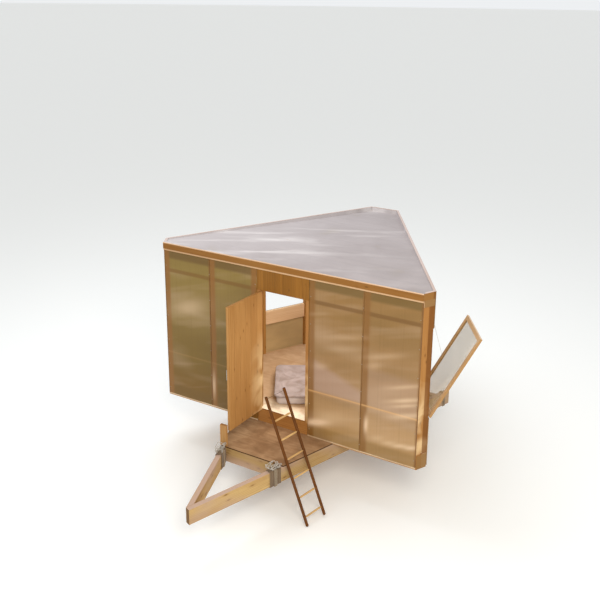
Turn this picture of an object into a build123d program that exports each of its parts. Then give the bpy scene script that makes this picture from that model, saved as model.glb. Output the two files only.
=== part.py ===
"""A three-sided timber tree house with translucent walls, raised on a V-shaped frame of beams.

X runs along the front wall, +Y goes into the cabin and +Z is up. The sizes below are measured
from the middle of the front wall's outer face at the level of the deck's top. The saved pieces
are moved so that the origin lies in the middle of the front cross beam's outer, bearing face.
"""
from build123d import *
import math
import os

# Cabin walls: a triangle with equal sides, cut flat at the corners
FRONT_LENGTH = 4300
SHEET = 12
STUD_DEPTH = 75
STUD_WIDTH = 50
APEX_FLAT = 530
SHEET_GAP = 4
STUD_PITCH = 840
FRONT_STUD = 1290
END_POST_RECESS = 12
CORNER_FILLET = 40

# Levels, measured from the deck's top, and the heights of the wall's timbers
DECK_THICK = 18
FLOOR_BEAM_HEIGHT = 220
FLOOR_BOARD = 22
MID_RAIL_LOW = 700
HEAD_RAIL_LOW = 2150
RAIL_HEIGHT = 70
RAIL_DEPTH = 45
TOP_PLATE_LOW = 2400
TOP_PLATE_HEIGHT = 100
CURB_HEIGHT = 100

# Floor and roof structure
FLOOR_JOIST_WIDTH = 45
FLOOR_JOIST_HEIGHT = 150
FLOOR_JOIST_PITCH = 600
ROOF_JOIST_WIDTH = 45
ROOF_JOIST_HEIGHT = 95
ROOF_JOIST_PITCH = 640
ROOF_BOARD = 18
MEMBRANE = 6
MEMBRANE_FRONT_DROP = 12
MEMBRANE_REAR_DROP = 70
MEMBRANE_LAP = 3
FRONT_OVERHANG = 20
CURB_THICK = 38
STRIP_HEIGHT = 26
STRIP_THICK = 12
SHEET_BOTTOM = 3

# Doorway and door
DOOR_CLEAR = 780
JAMB_WIDTH = 46
DOOR_GAP = 7
DOOR_FRAME_THICK = 28
DOOR_STILE = 80
DOOR_BOARD = 12
DOOR_BOARD_COUNT = 6
DOOR_BOARD_GROOVE = 3
DOOR_OPEN = 95
PIN_OUT = 8
PIN_SIDE = 2
PIN_RADIUS = 4
KNUCKLE_RADIUS = 7.5
KNUCKLE_LENGTH = 34
KNUCKLE_GAP = 1
PIN_CLEARANCE = 0.3
HINGE_PLATE = 3
HINGE_PLATE_WIDTH = 40
HINGE_INSET = 220
HANDLE_HEIGHT = 1080
HANDLE_LENGTH = 160
HANDLE_RADIUS = 8
HANDLE_STANDOFF = 34

# Beam frame below the cabin: a right and a left beam that meet in front, each in two lengths
BEAM_THICK = 75
BEAM_HEIGHT = 222
TIP_X = -30
TIP_Y = -2250
RIGHT_ANGLE = 21.5
LEFT_ANGLE = 17.3
BEAM_RUN = 5000
DECK_FRONT = -840
REAR_CROSSBEAM_INSET = 272
BEAM_EASE = 3
CORNER_POST_WIDTH = 105
CORNER_POST_DEPTH = 40
CORNER_POST_HEIGHT = 330
REAR_ROPE_INSET = 130

# Wraps and rope lashings
SLEEVE_LENGTH = 190
SLEEVE_THICK = 8
SLEEVE_END_GAP = 18
ROPE_RADIUS = 7
ROPE_TURNS = 3
ROPE_PITCH = 17
ROPE_CORNER = 6
ROPE_SIDES = 8
SEAT_GAP = 0.3

# Ladder that leans on the deck's right edge
LADDER_WIDTH = 325
LADDER_RAIL_RADIUS = 21
LADDER_RUNG_RADIUS = 14
RUNG_SIDES = 8
LADDER_ABOVE = 1000
LADDER_BELOW = 920
LADDER_FROM_CORNER = 58
LADDER_LEAN = 21.5
LADDER_SKEW = 6
RAIL_END_EASE = 8
RUNG_TENON_RADIUS = 9
RUNG_TENON_LENGTH = 22
RUNG_TAPER = 30
RUNG_PITCH = 284
RUNG_COUNT = 6
RUNG_LOWEST = 130
STRING_RADIUS = 2
STRING_DROP = 35

# Bottom-hung window leaf of the right wall, tilted out
FLAP_BAY = 0
FLAP_SILL_TOP = 720
FLAP_SILL_HEIGHT = 70
FLAP_LENGTH = 1330
FLAP_WIDTH = 836
FLAP_START = 14
FLAP_TILT = 28.5
FLAP_FRAME = 60
FLAP_THICK = 30
FLAP_SHEET = 6
FLAP_GROOVE = 10
FLAP_FOOT_GAP = 12
FLAP_HEAD_GAP = 6
FLAP_PIN_OUT = 12.3
FLAP_KNUCKLE_RADIUS = 10.5
FLAP_HINGE_PLATE = 3
FLAP_HINGE_WIDTH = 70
FLAP_HINGE_HEIGHT = 60
FLAP_HINGE_INSET = 150
FLAP_BRACKET_REACH = 130
FLAP_BRACKET_RADIUS = 6
FLAP_BRACKET_LEVEL = 1900
FLAP_STAY_ALONG = 620

# Open window of the left wall
WINDOW_BAY = 2
WINDOW_SILL_TOP = 1000
WINDOW_SILL_HEIGHT = 240

# Bed on the floor
BED_LENGTH = 1900
BED_WIDTH = 1000
MATTRESS_THICK = 130
MATTRESS_CORNER = 60
DUVET_THICK = 45
DUVET_HANG = 45
DUVET_EDGE = 18
BED_CORNER_X = -235
BED_CORNER_Y = 190
BED_TURN = 30

# Plan geometry that follows from the sizes above
WALL = SHEET + STUD_DEPTH
TAN30 = math.tan(math.radians(30))
TAN60 = math.tan(math.radians(60))
CORNER_FLAT = 4 * WALL * TAN30
SIDE = FRONT_LENGTH + 2 * CORNER_FLAT
SIDE_LENGTH = SIDE - CORNER_FLAT - APEX_FLAT
REAR_Y = (SIDE - APEX_FLAT) * math.sin(math.radians(60))
BEAM_TOP = -DECK_THICK
BEAM_BOTTOM = BEAM_TOP - BEAM_HEIGHT
FLOOR_BEAM_TOP = BEAM_TOP + FLOOR_BEAM_HEIGHT
FLOOR_TOP = FLOOR_BEAM_TOP + FLOOR_BOARD
MID_RAIL_HIGH = MID_RAIL_LOW + RAIL_HEIGHT
HEAD_RAIL_HIGH = HEAD_RAIL_LOW + RAIL_HEIGHT
TOP_PLATE_HIGH = TOP_PLATE_LOW + TOP_PLATE_HEIGHT
CURB_TOP = TOP_PLATE_HIGH + CURB_HEIGHT
SHEET_TOP = TOP_PLATE_HIGH - STRIP_HEIGHT
JAMB_INNER = DOOR_CLEAR / 2
JAMB_OUTER = JAMB_INNER + JAMB_WIDTH
FAR = 400
ALONG_ANGLE = 2
LOW = (Align.MIN, Align.MIN, Align.MIN)
LOW_MIDDLE = (Align.CENTER, Align.MIN, Align.MIN)
FOOT = (Align.CENTER, Align.CENTER, Align.MIN)


def prism(points, low, high):
    """An upright solid over the outline given by the points."""
    face = make_face(Polyline(*points, close=True))
    return extrude(Pos(0, 0, low) * face, amount=high - low, dir=(0, 0, 1))


def plan(inset, rear_inset=0, recess=0):
    """The cabin's outline, drawn in by an inset from the walls, with the flats moved in by the recess."""
    half = SIDE / 2 - inset / TAN30
    flat = CORNER_FLAT * max(0, 1 - inset / WALL) + 2 * TAN30 * recess
    rear = REAR_Y - rear_inset
    rear_half = half - (rear - inset) / TAN60
    right = [(half - flat, inset)]
    if flat > 1:
        right.append((half - flat / 2, inset + flat * TAN60 / 2))
    right.append((rear_half, rear))
    left = [(-x, y) for x, y in reversed(right)]
    return right + left


class Wall:
    """A straight run of wall: s goes along its outer face, o goes in from that face."""

    def __init__(self, start_x, start_y, heading, length):
        self.start = (start_x, start_y)
        turn = math.radians(heading)
        self.along = (math.cos(turn), math.sin(turn))
        self.inward = (-math.sin(turn), math.cos(turn))
        self.heading = heading
        self.length = length

    def point(self, s, o):
        x = self.start[0] + self.along[0] * s + self.inward[0] * o
        y = self.start[1] + self.along[1] * s + self.inward[1] * o
        return x, y

    def box(self, s_low, s_high, o_low, o_high, low, high):
        corners = [self.point(s_low, o_low), self.point(s_high, o_low)]
        corners += [self.point(s_high, o_high), self.point(s_low, o_high)]
        return prism(corners, low, high)

    def place(self, s, o, z):
        """A location whose X runs along the wall and whose Y runs inwards."""
        x, y = self.point(s, o)
        return Location((x, y, z), (0, 0, self.heading))


def corner_point(name):
    half = SIDE / 2
    points = {
        "front": (-half + CORNER_FLAT, 0),
        "right": (half - CORNER_FLAT / 2, CORNER_FLAT * TAN60 / 2),
        "rear": (APEX_FLAT / 2, REAR_Y),
        "left": (-APEX_FLAT / 2, REAR_Y),
    }
    return points[name]


front = Wall(*corner_point("front"), 0, FRONT_LENGTH)
right = Wall(*corner_point("right"), 120, SIDE_LENGTH)
rear = Wall(*corner_point("rear"), 180, APEX_FLAT)
left = Wall(*corner_point("left"), 240, SIDE_LENGTH)

OUTLINE_HEIGHT = CURB_TOP + FAR
outline = prism(plan(0), BEAM_BOTTOM, OUTLINE_HEIGHT)
frame_outline = prism(plan(0, SHEET), BEAM_BOTTOM, OUTLINE_HEIGHT)
post_outline = prism(plan(0, SHEET, END_POST_RECESS), BEAM_BOTTOM, OUTLINE_HEIGHT)
room = prism(plan(WALL, WALL), BEAM_BOTTOM, OUTLINE_HEIGHT)
between_sides = prism(plan(WALL), BEAM_BOTTOM, OUTLINE_HEIGHT)


def ring_piece(wall, o_low, o_high, low, high):
    """A timber along a whole wall, its ends cut on the corner flats."""
    piece = wall.box(-FAR, wall.length + FAR, o_low, o_high, low, high)
    if wall is rear:
        return piece & between_sides
    return piece & frame_outline


nodes = {}


def keep(name, *solids):
    nodes[name] = list(solids)


# Beam frame
def beam_line(side):
    """Start and direction of a beam's outer face, and the way across to its inner face."""
    turn = math.radians(RIGHT_ANGLE)
    tip = (TIP_X, TIP_Y)
    across = (-math.cos(turn), math.sin(turn))
    if side == "right":
        return tip, (math.sin(turn), math.cos(turn)), across
    start = (tip[0] + across[0] * BEAM_THICK, tip[1] + across[1] * BEAM_THICK)
    lean = math.radians(LEFT_ANGLE)
    return start, (-math.sin(lean), math.cos(lean)), (math.cos(lean), math.sin(lean))


def beam_point(side, run, over):
    start, ahead, across = beam_line(side)
    x = start[0] + ahead[0] * run + across[0] * over
    y = start[1] + ahead[1] * run + across[1] * over
    return x, y


def beam_length(side, low_run, high_run, over_low=0, over_high=BEAM_THICK, low=BEAM_BOTTOM, high=BEAM_TOP):
    corners = [beam_point(side, low_run, over_low), beam_point(side, high_run, over_low)]
    corners += [beam_point(side, high_run, over_high), beam_point(side, low_run, over_high)]
    return prism(corners, low, high)


def run_at(side, y, over=0):
    """How far along a beam its face crosses the level y."""
    start, ahead, across = beam_line(side)
    return (y - start[1] - across[1] * over) / ahead[1]


def face_x(side, y, over):
    return beam_point(side, run_at(side, y, over), over)[0]


joint = {side: run_at(side, DECK_FRONT, BEAM_THICK) for side in ("right", "left")}
left_of_right_arm = beam_length("right", -FAR, BEAM_RUN, BEAM_THICK, BEAM_RUN)


def eased(side, timber):
    """Breaks the sharp long edges of a timber that runs along a beam's line."""
    ahead = Vector(*beam_line(side)[1], 0)
    least = math.cos(math.radians(ALONG_ANGLE))
    long_edges = [edge for edge in timber.edges() if abs((edge % 0.5).dot(ahead)) > least]
    return chamfer(long_edges, BEAM_EASE)


keep("v_arm_right", eased("right", beam_length("right", 0, joint["right"])))
keep("v_arm_left", eased("left", beam_length("left", -FAR, joint["left"]) & left_of_right_arm))
keep("main_beams", *[eased(side, beam_length(side, joint[side], BEAM_RUN)) for side in ("right", "left")])


def crossbeam(y_low, y_high):
    """A timber across the frame, cut to the inner faces of the two main beams."""
    corners = [(face_x("left", y, BEAM_THICK), y) for y in (y_low, y_high)]
    corners += [(face_x("right", y, BEAM_THICK), y) for y in (y_high, y_low)]
    return prism(corners, BEAM_BOTTOM, BEAM_TOP)


front_crossbeam = crossbeam(DECK_FRONT, DECK_FRONT + BEAM_THICK)
bearing_ends = front_crossbeam.edges().filter_by(Axis.Z).group_by(Axis.Y)[0]
keep("front_crossbeam", chamfer(bearing_ends, BEAM_EASE))
rear_crossbeam_y = beam_point("right", BEAM_RUN, 0)[1] - REAR_CROSSBEAM_INSET
keep("rear_crossbeam", crossbeam(rear_crossbeam_y, rear_crossbeam_y + BEAM_THICK))

# Deck in front of the door, flush with the beams' outer faces, and the short post on its left corner
deck_corners = [(face_x("left", DECK_FRONT, 0), DECK_FRONT), (face_x("right", DECK_FRONT, 0), DECK_FRONT)]
deck_corners += [(face_x("right", SHEET, 0), SHEET), (face_x("left", SHEET, 0), SHEET)]
keep("deck_board", prism(deck_corners, BEAM_TOP, 0))
post_x = face_x("left", DECK_FRONT + CORNER_POST_DEPTH, 0)
corner_post = Pos(post_x + CORNER_POST_WIDTH / 2, DECK_FRONT + CORNER_POST_DEPTH / 2, 0)
keep("deck_corner_post", corner_post * Box(CORNER_POST_WIDTH, CORNER_POST_DEPTH, CORNER_POST_HEIGHT,
                                           align=FOOT))


# Wraps and lashings round the beams
def beam_place(side, run):
    """A location at the middle of a beam's section whose X runs along the beam."""
    x, y = beam_point(side, run, BEAM_THICK / 2)
    heading = {"right": 90 - RIGHT_ANGLE, "left": 90 + LEFT_ANGLE}[side]
    return Location((x, y, (BEAM_TOP + BEAM_BOTTOM) / 2), (0, 0, heading))


sleeve_end = {side: joint[side] - SLEEVE_END_GAP for side in joint}


def sleeve(side):
    """A wrap round the end of an arm, a thin ring of cloth."""
    inner = (BEAM_THICK + 2 * SEAT_GAP, BEAM_HEIGHT + 2 * SEAT_GAP)
    outer = RectangleRounded(inner[0] + 2 * SLEEVE_THICK, inner[1] + 2 * SLEEVE_THICK, SLEEVE_THICK)
    ring = extrude(Plane.YZ * (outer - Rectangle(*inner)), amount=SLEEVE_LENGTH)
    return beam_place(side, sleeve_end[side] - SLEEVE_LENGTH) * ring


def rope_turn(over, lift):
    """One turn of rope round a section of the given half sizes, bent in two steps at each corner."""
    across, up = over + ROPE_RADIUS, lift + ROPE_RADIUS
    side_points = [(across - ROPE_CORNER, up), (across, up - ROPE_CORNER)]
    side_points += [(y, -z) for y, z in reversed(side_points)]
    points = [(0, up)] + side_points + [(-y, z) for y, z in reversed(side_points)]
    wire = Plane.YZ * Polyline(*points, close=True)
    profile = Plane(wire @ 0, z_dir=wire % 0) * RegularPolygon(ROPE_RADIUS, ROPE_SIDES)
    return sweep(profile, path=wire, transition=Transition.RIGHT)


def lashing(side, run, over, lift, turns):
    offsets = [(i - (turns - 1) / 2) * ROPE_PITCH for i in range(turns)]
    return [beam_place(side, run + offset) * rope_turn(over, lift) for offset in offsets]


wrap = 2 * SEAT_GAP + SLEEVE_THICK
half, lift = BEAM_THICK / 2, BEAM_HEIGHT / 2
bend_room = (ROPE_CORNER - BEAM_EASE) / 2 + (ROPE_RADIUS + SEAT_GAP) / math.sqrt(2) - ROPE_RADIUS
bare_gap = max(SEAT_GAP, bend_room)
keep("arm_sleeves", sleeve("right"), sleeve("left"))
arm_ropes = []
rear_ropes = []
for side in ("right", "left"):
    lashing_run = sleeve_end[side] - SLEEVE_LENGTH / 2
    arm_ropes += lashing(side, lashing_run, half + wrap, lift + wrap, ROPE_TURNS)
    rear_run = BEAM_RUN - REAR_ROPE_INSET
    rear_ropes += lashing(side, rear_run, half + bare_gap, lift + bare_gap, ROPE_TURNS)
keep("arm_ropes", *arm_ropes)
keep("rear_ropes", *rear_ropes)

# Floor: ring beams at the foot of the walls, joists between them and the board on top
def timber_band(name, low, high):
    """A band of timbers round the cabin: front and rear pieces, and the two sides as one node."""
    keep(name + "_front", ring_piece(front, SHEET, WALL, low, high))
    keep(name + "_rear", ring_piece(rear, SHEET, WALL, low, high))
    keep(name + "_sides", *[ring_piece(wall, SHEET, WALL, low, high) for wall in (right, left)])


timber_band("floor_beam", BEAM_TOP, FLOOR_BEAM_TOP)


def across_room(y, width, low, high):
    slab = Pos(0, y, (low + high) / 2) * Box(SIDE, width, high - low)
    return slab & room


room_depth = REAR_Y - 2 * WALL
joist_count = int(room_depth // FLOOR_JOIST_PITCH)
joists = [
    across_room(WALL + FLOOR_JOIST_PITCH * (i + 0.5), FLOOR_JOIST_WIDTH,
                FLOOR_BEAM_TOP - FLOOR_JOIST_HEIGHT, FLOOR_BEAM_TOP)
    for i in range(joist_count + 1)
    if FLOOR_JOIST_PITCH * (i + 0.5) < room_depth - FLOOR_JOIST_WIDTH
]
keep("floor_joists", *joists)
room_floor = prism(plan(WALL, WALL), FLOOR_BEAM_TOP, FLOOR_TOP)
threshold = Pos(0, (SHEET + WALL) / 2, FLOOR_BEAM_TOP + FLOOR_BOARD / 2) * Box(DOOR_CLEAR, STUD_DEPTH, FLOOR_BOARD)
keep("floor_board", room_floor + threshold)

# Upright timbers
door_middle = FRONT_LENGTH / 2


def stud(wall, s, low=FLOOR_BEAM_TOP, high=TOP_PLATE_LOW):
    return wall.box(s - STUD_WIDTH / 2, s + STUD_WIDTH / 2, SHEET, WALL, low, high)


def end_post(wall, s_low, s_high):
    """A post at the end of a wall, its outer side set back from the corner flat."""
    return wall.box(s_low, s_high, SHEET, WALL, FLOOR_BEAM_TOP, TOP_PLATE_LOW) & post_outline


front_posts = [end_post(front, -FAR, STUD_WIDTH), end_post(front, FRONT_LENGTH - STUD_WIDTH, FRONT_LENGTH + FAR)]
front_posts += [stud(front, door_middle + x) for x in (-FRONT_STUD, FRONT_STUD)]
corner_room = prism(plan(WALL, WALL), FLOOR_TOP, TOP_PLATE_LOW) & post_outline
fillets = corner_room - prism(plan(0, SHEET, END_POST_RECESS + CORNER_FILLET), FLOOR_TOP, TOP_PLATE_LOW)
keep("front_posts", *front_posts, *fillets.solids())
jambs = [
    front.box(door_middle + low, door_middle + high, 0, WALL, FLOOR_BEAM_TOP, HEAD_RAIL_LOW)
    for low, high in ((-JAMB_OUTER, -JAMB_INNER), (JAMB_INNER, JAMB_OUTER))
]
keep("door_jambs", *jambs)

stud_count = int((SIDE_LENGTH - STUD_WIDTH) // STUD_PITCH)
side_studs = [STUD_WIDTH / 2 + STUD_PITCH * i for i in range(1, stud_count + 1)]


def side_s(wall, s):
    """Turns a distance from the front corner into a distance along the wall."""
    return s if wall is right else SIDE_LENGTH - s


def side_box(wall, s_low, s_high, o_low, o_high, low, high):
    ends = sorted((side_s(wall, s_low), side_s(wall, s_high)))
    return wall.box(*ends, o_low, o_high, low, high)


for name, wall in (("right", right), ("left", left)):
    first = side_box(wall, -FAR, STUD_WIDTH, SHEET, WALL, FLOOR_BEAM_TOP, TOP_PLATE_LOW) & post_outline
    last = side_box(wall, SIDE_LENGTH - STUD_WIDTH, SIDE_LENGTH + FAR, SHEET, WALL, FLOOR_BEAM_TOP, TOP_PLATE_LOW)
    keep(name + "_posts", first, last & post_outline, *[stud(wall, side_s(wall, s)) for s in side_studs])

# Rails between the uprights and the plate that runs round on top of them
timber_band("top_plate", TOP_PLATE_LOW, TOP_PLATE_HIGH)

front_edges = [-door_middle + STUD_WIDTH, -FRONT_STUD - STUD_WIDTH / 2, -FRONT_STUD + STUD_WIDTH / 2, -JAMB_OUTER]
front_bays = [(front_edges[0], front_edges[1]), (front_edges[2], front_edges[3])]
front_bays += [(-high, -low) for low, high in reversed(front_bays)]
side_edges = [s + d * STUD_WIDTH / 2 for s in side_studs for d in (-1, 1)]
side_edges = [STUD_WIDTH] + side_edges + [SIDE_LENGTH - STUD_WIDTH]
side_bays = list(zip(side_edges[0::2], side_edges[1::2]))
rail_levels = ((MID_RAIL_LOW, MID_RAIL_HIGH), (HEAD_RAIL_LOW, HEAD_RAIL_HIGH))
front_rails = [
    front.box(door_middle + low, door_middle + high, SHEET, SHEET + RAIL_DEPTH, *level)
    for low, high in front_bays
    for level in rail_levels
]
keep("front_rails", *front_rails)
flap_head = FLAP_SILL_TOP + FLAP_FOOT_GAP + FLAP_LENGTH + FLAP_HEAD_GAP
flap_levels = ((FLAP_SILL_TOP - FLAP_SILL_HEIGHT, FLAP_SILL_TOP), (flap_head, flap_head + FLAP_SILL_HEIGHT))
window_levels = ((WINDOW_SILL_TOP - WINDOW_SILL_HEIGHT, WINDOW_SILL_TOP), rail_levels[1])
for name, wall, open_bay, open_levels in (
    ("right", right, FLAP_BAY, flap_levels),
    ("left", left, WINDOW_BAY, window_levels),
):
    rails = []
    for index, (low, high) in enumerate(side_bays):
        levels = open_levels if index == open_bay else rail_levels
        for level in levels:
            rails.append(side_box(wall, low, high, SHEET, SHEET + RAIL_DEPTH, *level))
    keep(name + "_rails", *rails)

# Head of the doorway
head_ends = (door_middle - JAMB_OUTER, door_middle + JAMB_OUTER)
keep("door_head", front.box(*head_ends, SHEET, WALL, HEAD_RAIL_LOW, HEAD_RAIL_HIGH))
keep("lintel_board", front.box(*head_ends, 0, SHEET, HEAD_RAIL_LOW, SHEET_TOP))

# Translucent sheets, one to a bay
def sheet_row(wall, edges, low, high):
    half = SHEET_GAP / 2
    return [wall.box(a + half, b - half, 0, SHEET, low, high) for a, b in zip(edges, edges[1:])]


left_part = [0, door_middle - FRONT_STUD, door_middle - JAMB_OUTER]
right_part = [FRONT_LENGTH - s for s in reversed(left_part)]
keep("front_sheets_left", *sheet_row(front, left_part, SHEET_BOTTOM, SHEET_TOP))
keep("front_sheets_right", *sheet_row(front, right_part, SHEET_BOTTOM, SHEET_TOP))
side_joints = [0] + side_studs + [SIDE_LENGTH]


def side_sheets(wall, open_bay, sill_top, head):
    """The sheets of a side wall, with an open light in one bay between a sill and a head."""
    sheets = []
    for index, (low, high) in enumerate(zip(side_joints, side_joints[1:])):
        low, high = low + SHEET_GAP / 2, high - SHEET_GAP / 2
        if index != open_bay:
            sheet = side_box(wall, low, high, 0, SHEET, SHEET_BOTTOM, TOP_PLATE_HIGH)
            sheets.append(sheet & frame_outline)
            continue
        sheets.append(side_box(wall, low, high, 0, SHEET, SHEET_BOTTOM, sill_top))
        sheets.append(side_box(wall, low, high, 0, SHEET, head, TOP_PLATE_HIGH))
    return sheets


keep("right_sheets", *side_sheets(right, FLAP_BAY, FLAP_SILL_TOP, flap_head))
keep("left_sheets", *side_sheets(left, WINDOW_BAY, WINDOW_SILL_TOP, HEAD_RAIL_LOW))
keep("rear_sheet", rear.box(0, rear.length, 0, SHEET, SHEET_BOTTOM, TOP_PLATE_HIGH) & outline)

# Roof: curbs round the edge and over the front corner flats, a strip under the front one, joists, board, membrane
def curb(wall, outline_inside):
    piece = wall.box(-FAR, wall.length + FAR, 0, CURB_THICK, TOP_PLATE_HIGH, CURB_TOP)
    return piece & outline_inside


front_curb = front.box(0, FRONT_LENGTH, -FRONT_OVERHANG, CURB_THICK, TOP_PLATE_HIGH, CURB_TOP)
side_curbs = [curb(right, outline), curb(left, outline)]
corner_curbs = prism(plan(0), TOP_PLATE_HIGH, CURB_TOP) - prism(plan(0, 0, CURB_THICK), TOP_PLATE_HIGH, CURB_TOP)
corner_curbs -= [front_curb, *side_curbs]
keep("roof_curb_sides", *side_curbs)
keep("roof_curb_front", front_curb, *corner_curbs.solids())
keep("roof_curb_rear", curb(rear, prism(plan(CURB_THICK), TOP_PLATE_HIGH, CURB_TOP)))
keep("eaves_strips", front.box(0, FRONT_LENGTH, -STRIP_THICK, SHEET, SHEET_TOP, TOP_PLATE_HIGH))


def sloped(y_low, y_high, down, thick):
    """A slab that falls from the front curb to the rear one, its top a given depth below the membrane's."""
    y_front, y_rear = CURB_THICK, REAR_Y - CURB_THICK

    def top(y):
        share = (y - y_front) / (y_rear - y_front)
        return CURB_TOP - MEMBRANE_FRONT_DROP - share * (MEMBRANE_REAR_DROP - MEMBRANE_FRONT_DROP) - down

    points = [(y_low, top(y_low)), (y_high, top(y_high)), (y_high, top(y_high) - thick), (y_low, top(y_low) - thick)]
    profile = make_face(Plane.YZ * Polyline(*points, close=True))
    return extrude(profile, amount=SIDE, both=True)


roof_inside = prism(plan(CURB_THICK, CURB_THICK, CURB_THICK), 0, OUTLINE_HEIGHT)
lap_in, lap_top = CURB_THICK + MEMBRANE_LAP, CURB_TOP + MEMBRANE_LAP
lap_foot = CURB_TOP - MEMBRANE_FRONT_DROP - MEMBRANE
turned_up = front.box(-FAR, FRONT_LENGTH + FAR, CURB_THICK, lap_in, lap_foot, lap_top) & roof_inside
lap = front.box(0, FRONT_LENGTH, -FRONT_OVERHANG, lap_in, CURB_TOP, lap_top)
keep("roof_membrane", (sloped(-FAR, SIDE, 0, MEMBRANE) & roof_inside) + turned_up + lap)
keep("roof_board", sloped(-FAR, SIDE, MEMBRANE, ROOF_BOARD) & roof_inside)
roof_joists = []
y = WALL + ROOF_JOIST_PITCH / 2
while y < REAR_Y - WALL - ROOF_JOIST_WIDTH:
    joist = sloped(y - ROOF_JOIST_WIDTH / 2, y + ROOF_JOIST_WIDTH / 2, MEMBRANE + ROOF_BOARD, ROOF_JOIST_HEIGHT)
    roof_joists.append(joist & room)
    y += ROOF_JOIST_PITCH
keep("roof_joists", *roof_joists)

# Bottom-hung window leaf, tilted out on two hinges and held by a cord from a peg on the stud
pin_place = right.place(FLAP_START, -FLAP_PIN_OUT, FLAP_SILL_TOP)
tilt = pin_place * Rot(FLAP_TILT, 0, 0)
leaf_low = -FLAP_KNUCKLE_RADIUS + FLAP_HINGE_PLATE
stay_x = FLAP_WIDTH - FLAP_FRAME / 2
leaf = Pos(0, leaf_low, FLAP_FOOT_GAP) * Box(FLAP_WIDTH, FLAP_THICK, FLAP_LENGTH, align=LOW)
pane_width = FLAP_WIDTH - 2 * FLAP_FRAME
pane_length = FLAP_LENGTH - 2 * FLAP_FRAME
light = Pos(FLAP_FRAME, leaf_low - FLAP_THICK, FLAP_FOOT_GAP + FLAP_FRAME)
light *= Box(pane_width, 3 * FLAP_THICK, pane_length, align=LOW)


def pane_slab(beyond, more):
    """A slab in the leaf's middle that reaches beyond the light and is more than the sheet thick."""
    corner = FLAP_FRAME - beyond
    middle_y = leaf_low + (FLAP_THICK - FLAP_SHEET - more) / 2
    slab = Box(pane_width + 2 * beyond, FLAP_SHEET + more, pane_length + 2 * beyond, align=LOW)
    return Pos(corner, middle_y, FLAP_FOOT_GAP + corner) * slab


keep("flap_frame", tilt * (leaf - light - pane_slab(FLAP_GROOVE, 2 * SEAT_GAP)))
keep("flap_sheet", tilt * pane_slab(FLAP_GROOVE - SEAT_GAP, 0))


def flap_hinge(along):
    """A knuckle with one plate on the leaf's outer face and one on the wall below it."""
    middle = Pos(along, 0, 0)
    knuckle = middle * Rot(0, 90, 0) * Cylinder(FLAP_KNUCKLE_RADIUS, FLAP_HINGE_WIDTH)
    plate_y = -FLAP_KNUCKLE_RADIUS + FLAP_HINGE_PLATE / 2
    size = (FLAP_HINGE_WIDTH, FLAP_HINGE_PLATE, FLAP_HINGE_HEIGHT)
    leaf_plate = middle * Pos(0, plate_y, FLAP_HINGE_HEIGHT / 2) * Box(*size)
    wall_plate = middle * Pos(0, FLAP_PIN_OUT - FLAP_HINGE_PLATE / 2, -FLAP_HINGE_HEIGHT / 2) * Box(*size)
    return (tilt * leaf_plate) + (pin_place * knuckle) + (pin_place * wall_plate)


keep("flap_hinges", flap_hinge(FLAP_HINGE_INSET), flap_hinge(FLAP_WIDTH - FLAP_HINGE_INSET))
peg = Rot(90, 0, 0) * Cylinder(FLAP_BRACKET_RADIUS, FLAP_BRACKET_REACH, align=FOOT)
peg_place = right.place(side_studs[0], 0, FLAP_BRACKET_LEVEL)
keep("flap_peg", peg_place * peg)


def straight_cord(start, end, radius):
    """A taut cord from one point to another."""
    line = Edge.make_line(start, end)
    return sweep(Plane(line @ 0, z_dir=line % 0) * Circle(radius), path=line)


cord_out = STRING_RADIUS + SEAT_GAP
peg_tip = (peg_place * Pos(0, FLAP_BRACKET_RADIUS - FLAP_BRACKET_REACH, -FLAP_BRACKET_RADIUS - cord_out)).position
stay_end = Pos(stay_x, leaf_low + FLAP_THICK + cord_out, FLAP_FOOT_GAP + FLAP_STAY_ALONG)
stay_foot = (tilt * stay_end).position
keep("flap_stay", straight_cord(peg_tip, stay_foot, STRING_RADIUS))

# Ladder against the deck's right edge
edge_turn = math.radians(RIGHT_ANGLE)
edge_way = Vector(math.sin(edge_turn), math.cos(edge_turn), 0)
edge_out = Vector(math.cos(edge_turn), -math.sin(edge_turn), 0)
deck_corner = Vector(face_x("right", DECK_FRONT, 0), DECK_FRONT, 0)
lean = math.radians(LADDER_LEAN)
skew = math.radians(LADDER_SKEW)
rail_up = edge_out * (-math.sin(lean) * math.cos(skew)) - edge_way * math.sin(skew)
rail_up += Vector(0, 0, math.cos(lean) * math.cos(skew))
clear_way = edge_way.cross(rail_up)
clear_way = clear_way * (1 if clear_way.dot(edge_out) > 0 else -1)
rung_way = rail_up.cross(clear_way)
rung_way = rung_way * (1 if rung_way.dot(edge_way) > 0 else -1)
ladder_start = deck_corner + edge_way * LADDER_FROM_CORNER
ladder_start += clear_way.normalized() * (LADDER_RAIL_RADIUS + SEAT_GAP)
ladder = Plane(ladder_start, x_dir=rung_way, z_dir=rail_up).location
rail_length = LADDER_ABOVE + LADDER_BELOW
rail = Cylinder(LADDER_RAIL_RADIUS, rail_length, align=FOOT)
rail = chamfer(rail.edges().filter_by(GeomType.CIRCLE), RAIL_END_EASE)
rung_levels = [RUNG_LOWEST + RUNG_PITCH * i for i in range(RUNG_COUNT)]
socket_radius = RUNG_TENON_RADIUS + SEAT_GAP
socket = Rot(0, 90, 0) * Cylinder(socket_radius, RUNG_TENON_LENGTH + SEAT_GAP, align=FOOT)
socket_start = LADDER_RAIL_RADIUS - RUNG_TENON_LENGTH
for level in rung_levels:
    rail -= Pos(socket_start - SEAT_GAP, 0, level) * socket
right_rail = Pos(LADDER_WIDTH, 0, -LADDER_BELOW) * Rot(0, 0, 180) * rail
keep("ladder_rails", ladder * Pos(0, 0, -LADDER_BELOW) * rail, ladder * right_rail)
rung_half = LADDER_WIDTH / 2 - socket_start
shoulder = LADDER_WIDTH / 2 - LADDER_RAIL_RADIUS


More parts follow.
